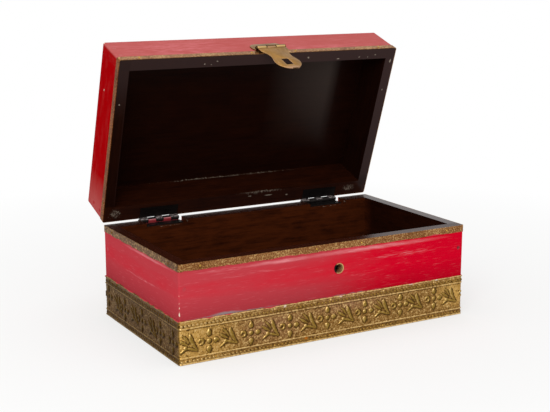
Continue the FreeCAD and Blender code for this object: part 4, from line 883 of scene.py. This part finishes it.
# How far a motif's painted shadow lies below it and to its right, and half widths of the grooves and bead
# rows
SHADOW_DOWN, SHADOW_RIGHT = 0.5, 0.7
GROOVE_HALF = 0.5
BEAD_ROW_HALF = 1.6


def press_motif(heights, along, up, motif, middle, relief):
    """Raises one motif in the height field."""
    for line in motif:
        for across, rise, radius in stroke(line):
            near = np.abs(along - middle[0] - across) < radius
            if not near.any():
                continue
            distance = np.hypot(along[near][None] - middle[0] - across, up[:, None] - middle[1] - rise)
            dome = relief * np.clip(1 - (distance / radius) ** 2, 0, 1) ** 0.5 * min(1.0, 0.45 + radius / 3)
            heights[:, near] = np.maximum(heights[:, near], dome)


def blurred(field, step, reach):
    """The field averaged over a reach, in millimetres."""
    for axis in (0, 1):
        count = field.shape[axis]
        offset = (np.arange(count)[:, None] - np.arange(count)[None]) * step
        weights = np.exp(-0.5 * (offset / reach) ** 2)
        weights /= weights.sum(axis=1, keepdims=True)
        field = weights @ field if axis == 0 else field @ weights.T
    return field


def punched_dots(along, up, rng):
    """The ground's punched dots: 1 in the middle of a dot, falling to 0 at its reach."""
    dots = np.zeros((len(up), len(along)))
    first_row = FRIEZE_LOW + 0.5
    for row, level in enumerate(np.arange(first_row, FRIEZE_HIGH, DOT_SPACING * DOT_ROW_SHARE)):
        for place in np.arange(along[0] + DOT_SPACING * 0.5 * (row % 2), along[-1], DOT_SPACING):
            across, rise = place + rng.normal(0, DOT_STRAY), level + rng.normal(0, DOT_STRAY)
            columns = slice(*np.searchsorted(along, (across - DOT_REACH, across + DOT_REACH)))
            lines = slice(*np.searchsorted(up, (rise - DOT_REACH, rise + DOT_REACH)))
            distance = np.hypot(along[None, columns] - across, up[lines, None] - rise)
            dots[lines, columns] = np.maximum(dots[lines, columns], np.clip(1 - distance / DOT_REACH, 0, 1))
    return dots


def brass_tone(heights, dots, motif, lines, step, rng):
    """How rubbed or tarnished each point of a sheet is, with painted light and shade on its relief.

    A motif has a painted highlight where it faces up and to the left, and a painted shadow along its other
    side."""
    spread = np.clip(2.4 * blurred(motif, step, OUTLINE_REACH), 0, 1)
    outline = np.clip(spread - motif, 0, 1)
    # Painted shadow along the lower right of each motif
    painted_shadow = np.roll(spread, (-round(SHADOW_DOWN / step), round(SHADOW_RIGHT / step)), (0, 1))
    painted_shadow = np.clip(painted_shadow - motif, 0, 1)
    # Painted light and shade: slopes facing up and to the left are lighter, the others darker
    soft = blurred(heights, step, SLOPE_REACH)
    painted_slope_light = 0.9 * np.gradient(soft, step, axis=1) - 0.6 * np.gradient(soft, step, axis=0)
    stipple = blurred(rng.normal(0, 1, heights.shape), step, STIPPLE_REACH)
    tone = 0.3 + 0.32 * stipple / stipple.std() - 0.75 * dots
    tone = np.where(motif > 0, 0.02 + 0.14 * stipple / stipple.std(), tone)
    tone += np.clip(1.4 * painted_slope_light, -0.9, 0.8) - outline - 1.2 * painted_shadow
    for height, half in RIDGES:
        tone += 0.7 * np.exp(-((lines - height) / half) ** 2)
    for height in GROOVES:
        tone -= 0.6 * np.exp(-((lines - height) / GROOVE_HALF) ** 2)
    for height in BEAD_ROWS:
        tone -= 0.7 * np.exp(-((lines - height) / BEAD_ROW_HALF) ** 4)
    return np.clip(tone, *TONE_LIMITS)


def emboss(along, up, flowers, sprays, seed):
    """Heights of an embossed sheet over its wall, how rubbed each point is with painted light and shade, and
    where the motifs are.
    """
    sizes = bpy.context.scene.jewellery_box.band
    step, relief = sizes.step / MM, sizes.relief / MM
    rng = np.random.default_rng(seed)
    raised = np.zeros((len(up), len(along)))
    for motif, middles in ((FLOWER, flowers), (SPRAY, sprays)):
        for middle in middles:
            press_motif(raised, along, up, motif, middle + rng.normal(0, MOTIF_STRAY, 2), relief)
    for height, half in RIDGES:
        profile = np.clip(1 - ((up - height) / half) ** 2, 0, 1) ** 0.5 * relief * min(1.0, 0.4 + half)
        raised = np.maximum(raised, profile[:, None])
    dots = punched_dots(along, up, rng)
    ground = np.where(raised < MOTIF_EDGE, 1.0, 0.0)
    heights = sizes.ground / MM + raised - DOT_DEPTH * dots * ground
    heights += WAVE_HEIGHT * blurred(rng.normal(0, 1, heights.shape), step, WAVE_REACH) / WAVE_NOISE
    lines = up[:, None]
    motif = np.where((raised > MOTIF_EDGE) & (lines > FRIEZE_LOW) & (lines < FRIEZE_HIGH), 1.0, 0.0)
    tone = brass_tone(heights, dots, motif, lines, step, rng)
    return np.clip(heights, *SHEET_LIMITS), tone, blurred(motif, step, MOTIF_SOFTNESS)


def keep(sheet, name, field):
    """Stores a value for each embossed point of a sheet, for its brass."""
    values = np.zeros(len(sheet.data.vertices), np.float32)
    values[:field.size] = field.ravel()
    sheet.data.attributes.new(name, "FLOAT", "POINT").data.foreach_set("value", values)


def finish_piece(piece, material, body, slot, *nodes):
    """Gives a made piece its finish and its place in the frame."""
    if material is not None:
        piece.data.materials.append(material)
    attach(piece, body)
    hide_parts(*nodes)


class JEWEL_OT_boards(bpy.types.Operator):
    """Paints the boards outside and stains them inside"""
    bl_idname = "jewellery_box.boards"
    bl_label = "Paint and stain the boards"

    def execute(self, context):
        for boards, on_lid in ((BASE_BOARDS, False), (LID_BOARDS, True)):
            part = "lid" if on_lid else "base"
            lengthwise = painted_wood(f"painted_mango_wood_{part}_lengthwise", on_lid, True)
            crosswise = painted_wood(f"painted_mango_wood_{part}_crosswise", on_lid, False)
            for board in boards:
                ends = "left" in board or "right" in board
                dress(crosswise if ends else lengthwise, board)
        return {"FINISHED"}


# Straight runs of the walls between their rounded corners
LONG_RUN = HALF_LENGTH - EDGE_ROUND
SHORT_RUN = HALF_WIDTH - EDGE_ROUND


def long_legs(sign):
    """Path of the front sheet (1) or the back sheet (-1), which is turned round two corners."""
    return [
        ((-HALF_LENGTH * sign, -BAND_TURN * sign), (-HALF_LENGTH * sign, -SHORT_RUN * sign), (-sign, 0)),
        ((-LONG_RUN * sign, -HALF_WIDTH * sign), (LONG_RUN * sign, -HALF_WIDTH * sign), (0, -sign)),
        ((HALF_LENGTH * sign, -SHORT_RUN * sign), (HALF_LENGTH * sign, -BAND_TURN * sign), (sign, 0)),
    ]


def short_legs(sign):
    """Path of the right sheet (1) or the left sheet (-1)."""
    return [((HALF_LENGTH * sign, -BAND_SEAM * sign), (HALF_LENGTH * sign, BAND_SEAM * sign), (sign, 0))]


class JEWEL_OT_band(bpy.types.Operator):
    """Presses the four embossed brass sheets round the base"""
    bl_idname = "jewellery_box.band"
    bl_label = "Emboss the brass band"

    def execute(self, context):
        step = context.scene.jewellery_box.band.step / MM
        up = np.linspace(BAND_LOW, BAND_HIGH, round((BAND_HIGH - BAND_LOW) / step) + 1)
        brass = embossed_brass()
        for name, legs, flowers, sprays, seed in (
                ("band_front", long_legs(1), LONG_FLOWERS, LONG_SPRAYS, 3),
                ("band_back", long_legs(-1), LONG_FLOWERS, LONG_SPRAYS, 4),
                ("band_left", short_legs(-1), SHORT_FLOWERS, SHORT_SPRAYS, 5),
                ("band_right", short_legs(1), SHORT_FLOWERS, SHORT_SPRAYS, 6)):
            places, normals, run = wall_path(legs, step)
            heights, wear_and_shading, motif = emboss(run - run[-1] / 2, up, flowers, sprays, seed)
            sheet = pressed_sheet(f"embossed_{name}", places, normals, up, heights)
            keep(sheet, "wear_and_shading", wear_and_shading)
            keep(sheet, "motif", motif)
            finish_piece(sheet, brass, "base", "embossed_brass", name)
        return {"FINISHED"}


def dome_tree(name, follow_path):
    """Sets a flattened dome along a closed path, or at each point of a mesh facing its own way."""
    tree = bpy.data.node_groups.new(name, "GeometryNodeTree")
    tree.interface.new_socket("Geometry", in_out="INPUT", socket_type="NodeSocketGeometry")
    for label in ("Pitch", "Radius", "Height"):
        tree.interface.new_socket(label, in_out="INPUT", socket_type="NodeSocketFloat")
    tree.interface.new_socket("Material", in_out="INPUT", socket_type="NodeSocketMaterial")
    tree.interface.new_socket("Geometry", in_out="OUTPUT", socket_type="NodeSocketGeometry")
    given = put(tree, "NodeGroupInput").node.outputs
    if follow_path:
        curve = put(tree, "GeometryNodeMeshToCurve", {"Mesh": given["Geometry"]})
        points = put(tree, "GeometryNodeCurveToPoints", {
            "Curve": curve, "Length": given["Pitch"]}, mode="LENGTH")
        facing = put(
            tree, "VectorMath", points.node.outputs["Tangent"], (0, 0, 1), operation="CROSS_PRODUCT")
    else:
        points = given["Geometry"]
        facing = put(tree, "GeometryNodeInputNamedAttribute", {"Name": "facing"}, data_type="FLOAT_VECTOR")
    turn = put(tree, "FunctionNodeAlignRotationToVector", {"Vector": facing}, axis="Z")
    ball = put(tree, "GeometryNodeMeshUVSphere", {"Segments": 8, "Rings": 6, "Radius": 1.0})
    size = put(tree, "CombineXYZ", given["Radius"], given["Radius"], given["Height"])
    domes = put(tree, "GeometryNodeInstanceOnPoints", {
        "Points": points, "Instance": ball, "Rotation": turn, "Scale": size})
    solid = put(tree, "GeometryNodeRealizeInstances", {"Geometry": domes})
    smooth = put(tree, "GeometryNodeSetShadeSmooth", {"Geometry": solid})
    finished = put(tree, "GeometryNodeSetMaterial", {"Geometry": smooth, "Material": given["Material"]})
    put(tree, "NodeGroupOutput", {"Geometry": finished})
    return tree


def grow(name, points, edges, tree, values, facings=None):
    """Runs a tree on points of the frame and returns the result as a plain mesh object."""
    seed_mesh = bpy.data.meshes.new(name + "_points")
    seed_mesh.from_pydata((np.array(points) * MM).tolist(), edges, [])
    if facings is not None:
        stored = seed_mesh.attributes.new("facing", "FLOAT_VECTOR", "POINT")
        stored.data.foreach_set("vector", np.array(facings, np.float32).ravel())
    source = add_object(name + "_points", seed_mesh)
    modifier = source.modifiers.new("domes", "NODES")
    modifier.node_group = tree
    sockets = {item.name: item.identifier for item in tree.interface.items_tree if item.in_out == "INPUT"}
    for label, value in values.items():
        modifier[sockets[label]] = value
    ready = source.evaluated_get(bpy.context.evaluated_depsgraph_get())
    mesh = bpy.data.meshes.new_from_object(ready)
    bpy.data.objects.remove(source)
    if not mesh.polygons:
        raise RuntimeError(f"{name} came out empty")
    mesh.name = name
    return add_object(name, mesh)


# Distance between two points of the beads' path, and the place where their brass is brighter
BEAD_PATH_STEP = 4.0
BRIGHT_BEADS = [((-146, -85, 20), (90, 8, 40))]


class JEWEL_OT_beads(bpy.types.Operator):
    """Sets the rows of beads along the band's borders"""
    bl_idname = "jewellery_box.beads"
    bl_label = "Set the border beads"

    def execute(self, context):
        sizes = context.scene.jewellery_box.band
        legs = [
            ((-LONG_RUN, -HALF_WIDTH), (LONG_RUN, -HALF_WIDTH), (0, -1)),
            ((HALF_LENGTH, -SHORT_RUN), (HALF_LENGTH, SHORT_RUN), (1, 0)),
            ((LONG_RUN, HALF_WIDTH), (-LONG_RUN, HALF_WIDTH), (0, 1)),
            ((-HALF_LENGTH, SHORT_RUN), (-HALF_LENGTH, -SHORT_RUN), (-1, 0)),
        ]
        places, normals, _ = wall_path(legs, BEAD_PATH_STEP)
        ring = places + normals * sizes.ground / MM
        points, edges = [], []
        for level in BEAD_ROWS:
            first = len(points)
            points += [(x, y, level) for x, y in ring]
            edges += [(first + n, first + (n + 1) % len(ring)) for n in range(len(ring))]
        tint = context.scene.jewellery_box.colours.bead_brass
        brass = rolled_brass("bead_brass", False, tint, BRIGHT_BEADS)
        beads = grow("border_beads", points, edges, dome_tree("bead_row", True), {
            "Pitch": sizes.bead_pitch, "Radius": sizes.bead_radius, "Height": sizes.bead_height,
            "Material": brass})
        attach(beads, "base")
        return {"FINISHED"}


# Points of a piece closer than this, in metres, are one point
WELD = 1e-6


def welded(node):
    """A piece of the frame as an editable mesh without doubled points."""
    merged = bmesh.new()
    merged.from_mesh(frame["nodes"][node].data)
    bmesh.ops.remove_doubles(merged, verts=merged.verts, dist=WELD)
    return merged


def loose_parts(node):
    """The separate solids of a piece of the frame, each as its points in millimetres."""
    merged = welded(node)
    left = set(merged.verts)
    parts = []
    while left:
        front = [left.pop()]
        part = []
        while front:
            vert = front.pop()
            part.append(list(vert.co))
            for edge in vert.link_edges:
                other = edge.other_vert(vert)
                if other in left:
                    left.remove(other)
                    front.append(other)
        parts.append(np.array(part) / MM)
    merged.free()
    return parts


# The row of pins on the front whose brass is brighter
BRIGHT_PINS = [((0, -86, 37), (400, 20, 3))]


class JEWEL_OT_pins(bpy.types.Operator):
    """Drives the small domed brass pins through the band and the rim strips"""
    bl_idname = "jewellery_box.pins"
    bl_label = "Drive the brass pins"

    def execute(self, context):
        sizes = context.scene.jewellery_box.band
        tint = context.scene.jewellery_box.colours.brass_gold
        tree = dome_tree("brass_pins", False)
        for name, body, nodes in (
                ("base_brass_pins", "base", ("band_pins", "base_rim_pins")),
                ("lid_brass_pins", "lid", ("lid_rim_pins",))):
            on_lid = body == "lid"
            heads, facings = [], []
            for part in [p for node in nodes for p in loose_parts(node)]:
                part = turn_lid(part, LID_ANGLE) if on_lid else part
                low, high = part.min(axis=0), part.max(axis=0)
                middle = (low + high) / 2
                axis = int(np.argmax(high - low))
                sign = math.copysign(1.0, middle[axis])
                facing = np.zeros(3)
                facing[axis] = sign
                middle[axis] = (high[axis] if sign > 0 else low[axis]) - sign * sizes.pin_height / MM
                heads.append(middle)
                facings.append(facing)
            heads, facings = np.array(heads), np.array(facings)
            if on_lid:
                tips = turn_lid(heads + facings, -LID_ANGLE)
                heads = turn_lid(heads, -LID_ANGLE)
                facings = tips - heads
            brass = rolled_brass(f"pin_brass_{body}", on_lid, tint, BRIGHT_PINS)
            pins = grow(name, heads, [], tree, {
                "Radius": sizes.pin_radius, "Height": sizes.pin_height, "Material": brass}, facings)
            finish_piece(pins, None, body, "embossed_brass", *nodes)
        return {"FINISHED"}


class JEWEL_OT_strips(bpy.types.Operator):
    """Finishes the stippled brass strips round both rims"""
    bl_idname = "jewellery_box.strips"
    bl_label = "Finish the rim strips"

    def execute(self, context):
        dress(stippled_brass("stippled_brass_base", False), "base_rim_strip_left", "base_rim_strip_right")
        dress(stippled_brass("stippled_brass_lid", True), "lid_rim_strip_left", "lid_rim_strip_right")
        return {"FINISHED"}


class JEWEL_OT_hinges(bpy.types.Operator):
    """Blackens the hinges and their screws, and paints the nails over in red"""
    bl_idname = "jewellery_box.hinges"
    bl_label = "Finish the hinges and nails"

    def execute(self, context):
        dress(blackened_iron("blackened_iron_painted", "painted"), "left_hinge_base_leaf")
        dress(blackened_iron("blackened_iron_highlit", "bare"), "left_hinge_lid_leaf", "right_hinge_lid_leaf")
        dress(blackened_iron("blackened_iron", "dark"), "right_hinge_base_leaf", "left_hinge_pin",
              "right_hinge_pin", "base_hinge_screws", "lid_hinge_screws")
        dress(painted_iron("painted_iron_base", False), "base_wall_nails", "base_bottom_nails")
        dress(painted_iron("painted_iron_lid", True), "lid_wall_nails", "lid_top_nails")
        return {"FINISHED"}


# Angles between two faces: they are one flat surface up to the first, meet in a sharp edge from the second,
# and are shaded as one up to the third
FLAT_ANGLE = math.radians(2)
SHARP_ANGLE = math.radians(40)
SMOOTH_ANGLE = math.radians(35)


def softened(name, node, width):
    """A copy of a piece of the frame with its sharp edges rounded off and marked as rubbed."""
    merged = welded(node)
    bmesh.ops.dissolve_limit(merged, angle_limit=FLAT_ANGLE, verts=merged.verts, edges=merged.edges)
    rub = merged.faces.layers.float.new("rub")
    sharp = [edge for edge in merged.edges if edge.is_manifold and edge.calc_face_angle() > SHARP_ANGLE]
    rounded = bmesh.ops.bevel(
        merged, geom=sharp, offset=width * MM, offset_type="OFFSET", segments=2, profile=0.5, affect="EDGES",
        clamp_overlap=True)
    for face in rounded["faces"]:
        face[rub] = 1.0
    mesh = bpy.data.meshes.new(name)
    merged.to_mesh(mesh)
    merged.free()
    mesh.polygons.foreach_set("use_smooth", np.ones(len(mesh.polygons), bool))
    mesh.set_sharp_from_angle(angle=SMOOTH_ANGLE)
    return add_object(name, mesh)


# Rounding of the hasp's edges, its bright tip, rubbed and with a painted highlight, and the ways that the
# painted highlights of its knuckles face
HASP_ROUND = 0.3
HASP_TIP = [((9.6, -88, 52), (14, 12, 7))]
PLATE_CREST = (-0.1, -1.0, -0.05)
LEAF_CREST = (-0.1, -0.94, 0.34)


class JEWEL_OT_hasp(bpy.types.Operator):
    """Finishes the brass hasp and the staple's socket"""
    bl_idname = "jewellery_box.hasp"
    bl_label = "Finish the hasp"

    def execute(self, context):
        colours = context.scene.jewellery_box.colours
        plate_brass = rolled_brass(
            "rolled_brass_plate", True, colours.fitting_brass, HASP_TIP, crest=PLATE_CREST,
            pale_tint=colours.lip_brass)
        leaf_brass = rolled_brass("rolled_brass_leaf", True, colours.leaf_brass, crest=LEAF_CREST)
        plate = softened("rounded_hasp_plate", "hasp_plate", HASP_ROUND)
        finish_piece(plate, plate_brass, "hasp", "fittings_brass", "hasp_plate")
        leaf = softened("rounded_hasp_leaf", "hasp_leaf", HASP_ROUND)
        finish_piece(leaf, leaf_brass, "lid", "fittings_brass", "hasp_leaf")
        dress(leaf_brass, "hasp_pin", "hasp_screws")
        # The socket has painted light at its mouth, and painted shadow in its bore and at its left
        low, high = corners("staple_socket")
        across, up = (low[0] + high[0]) / 2, (low[2] + high[2]) / 2
        mouth = ((across + 3.5, low[1] + 1.2, up), (3.5, 3.6, 5))
        bore = ((across, low[1] + 10.5, up), (6, 6.5, 6))
        shadowed_left = ((across - 3.6, low[1] + 0.8, up), (2.8, 3.6, 5))
        socket_brass = rolled_brass(
            "rolled_brass_socket", False, colours.socket_brass, [mouth], [bore, shadowed_left], 0.5)
        dress(socket_brass, "staple_socket")
        return {"FINISHED"}


# The stage, in metres and degrees: half the floor's side, the lamps' target, and the camera as the photograph
# was taken. The sensor's width is in millimetres.
FLOOR_REACH = 4.0
LAMP_TARGET = Vector((0, 0, 0.1))
CAMERA_TARGET = Vector((-0.009797, 0.0, 0.108529))
CAMERA_DISTANCE = 1.087358
CAMERA_AZIMUTH, CAMERA_ELEVATION, CAMERA_ROLL = -29.585, 12.189, 0.044
SENSOR_WIDTH = 36.0
WHITE = (1, 1, 1, 1)


def seen_plainly(tree):
    """1 for rays from the camera, in mirrors and through glass, and 0 for those that only carry light."""
    ray = put(tree, "LightPath").node.outputs
    seen = put(tree, "Math", ray["Is Camera Ray"], ray["Is Glossy Ray"], operation="MAXIMUM")
    return put(tree, "Math", seen, ray["Is Transmission Ray"], operation="MAXIMUM")


def lay_floor(settings):
    """Pale floor that fades into the white room away from the box, and keeps its soft shadow near it."""
    material, tree = new_material("pale_floor")
    place = put(tree, "TexCoord", out="Object")
    away = put(tree, "VectorMath", place, out="Value", operation="LENGTH")
    share = put(tree, "MapRange", away, 0.2, 0.7, 0.6, 1.0)
    share = put(tree, "Math", seen_plainly(tree), share, operation="MULTIPLY")
    matt = put(tree, "BsdfDiffuse", {"Color": opaque(settings.floor)})
    glow = put(tree, "Emission", {"Color": WHITE, "Strength": 1.0})
    mixed = put(tree, "MixShader", share, matt, glow)
    put(tree, "OutputMaterial", {"Surface": mixed})
    mesh = bpy.data.meshes.new("floor")
    outline = [(x * FLOOR_REACH, y * FLOOR_REACH, 0) for x, y in ((-1, -1), (1, -1), (1, 1), (-1, 1))]
    mesh.from_pydata(outline, [], [(0, 1, 2, 3)])
    mesh.materials.append(material)
    add_object("floor", mesh)


def light_room(scene, settings):
    """White room with even light, and two soft lamps: a large one at the front left and one above."""
    world = bpy.data.worlds.new("white_room")
    world.use_nodes = True
    tree = world.node_tree
    tree.nodes.clear()
    strength = put(tree, "Mix", {0: seen_plainly(tree), 2: settings.sky, 3: 1.0})
    sky = put(tree, "Background", {"Color": WHITE, "Strength": strength})
    put(tree, "OutputWorld", {"Surface": sky})
    scene.world = world
    for name, place, size, power in (
            ("key_lamp", (-1.1, -1.4, 1.2), 1.2, settings.key_power),
            ("top_lamp", (-0.1, 0.1, 1.6), 1.4, settings.top_power)):
        lamp = bpy.data.lights.new(name, "AREA")
        lamp.size = size
        lamp.energy = power
        holder = add_object(name, lamp)
        holder.location = place
        holder.rotation_euler = (LAMP_TARGET - Vector(place)).to_track_quat("-Z", "Y").to_euler()


def place_camera(scene, settings):
    """Camera where the photograph was taken."""
    azimuth, elevation, roll = (math.radians(a) for a in (CAMERA_AZIMUTH, CAMERA_ELEVATION, CAMERA_ROLL))
    back = Vector((
        math.sin(azimuth) * math.cos(elevation), -math.cos(azimuth) * math.cos(elevation),
        math.sin(elevation)))
    right = (-back).cross(Vector((0, 0, 1))).normalized()
    above = right.cross(-back)
    across = right * math.cos(roll) + above * math.sin(roll)
    upward = above * math.cos(roll) - right * math.sin(roll)
    camera = bpy.data.cameras.new("camera")
    camera.lens = settings.lens
    camera.sensor_width = SENSOR_WIDTH
    holder = add_object("camera", camera)
    turn = Matrix((across, upward, back)).transposed().to_4x4()
    holder.matrix_world = Matrix.Translation(CAMERA_TARGET + back * CAMERA_DISTANCE) @ turn
    scene.camera = holder


class JEWEL_OT_stage(bpy.types.Operator):
    """Sets up the pale floor, the soft lamps and the camera"""
    bl_idname = "jewellery_box.stage"
    bl_label = "Set up the stage"

    def execute(self, context):
        settings = context.scene.jewellery_box.stage
        lay_floor(settings)
        light_room(context.scene, settings)
        place_camera(context.scene, settings)
        context.scene.view_settings.view_transform = "Standard"
        return {"FINISHED"}


class JEWEL_PT_panel(bpy.types.Panel):
    """Lists the steps that dress the jewellery box"""
    bl_idname = "JEWEL_PT_panel"
    bl_label = "Jewellery box"
    bl_space_type = "VIEW_3D"
    bl_region_type = "UI"
    bl_category = "Jewellery box"

    def draw(self, context):
        settings = context.scene.jewellery_box
        for group in (settings.colours, settings.band, settings.stage):
            box = self.layout.box()
            for name in group.__annotations__:
                box.prop(group, name)
        for operator in OPERATORS:
            self.layout.operator(operator.bl_idname)


GROUPS = (BoxColours, BandSizes, StageSettings, JewelleryBox)
OPERATORS = (JEWEL_OT_boards, JEWEL_OT_band, JEWEL_OT_beads, JEWEL_OT_pins, JEWEL_OT_strips, JEWEL_OT_hinges,
             JEWEL_OT_hasp, JEWEL_OT_stage)


def register():
    for kind in (*GROUPS, *OPERATORS, JEWEL_PT_panel):
        bpy.utils.register_class(kind)
    bpy.types.Scene.jewellery_box = bpy.props.PointerProperty(type=JewelleryBox)


def unregister():
    del bpy.types.Scene.jewellery_box
    for kind in reversed((*GROUPS, *OPERATORS, JEWEL_PT_panel)):
        bpy.utils.unregister_class(kind)


def main():
    register()
    bpy.ops.jewellery_box.boards()
    bpy.ops.jewellery_box.band()
    bpy.ops.jewellery_box.beads()
    bpy.ops.jewellery_box.pins()
    bpy.ops.jewellery_box.strips()
    bpy.ops.jewellery_box.hinges()
    bpy.ops.jewellery_box.hasp()
    bpy.ops.jewellery_box.stage()


if __name__ == "__main__":
    main()
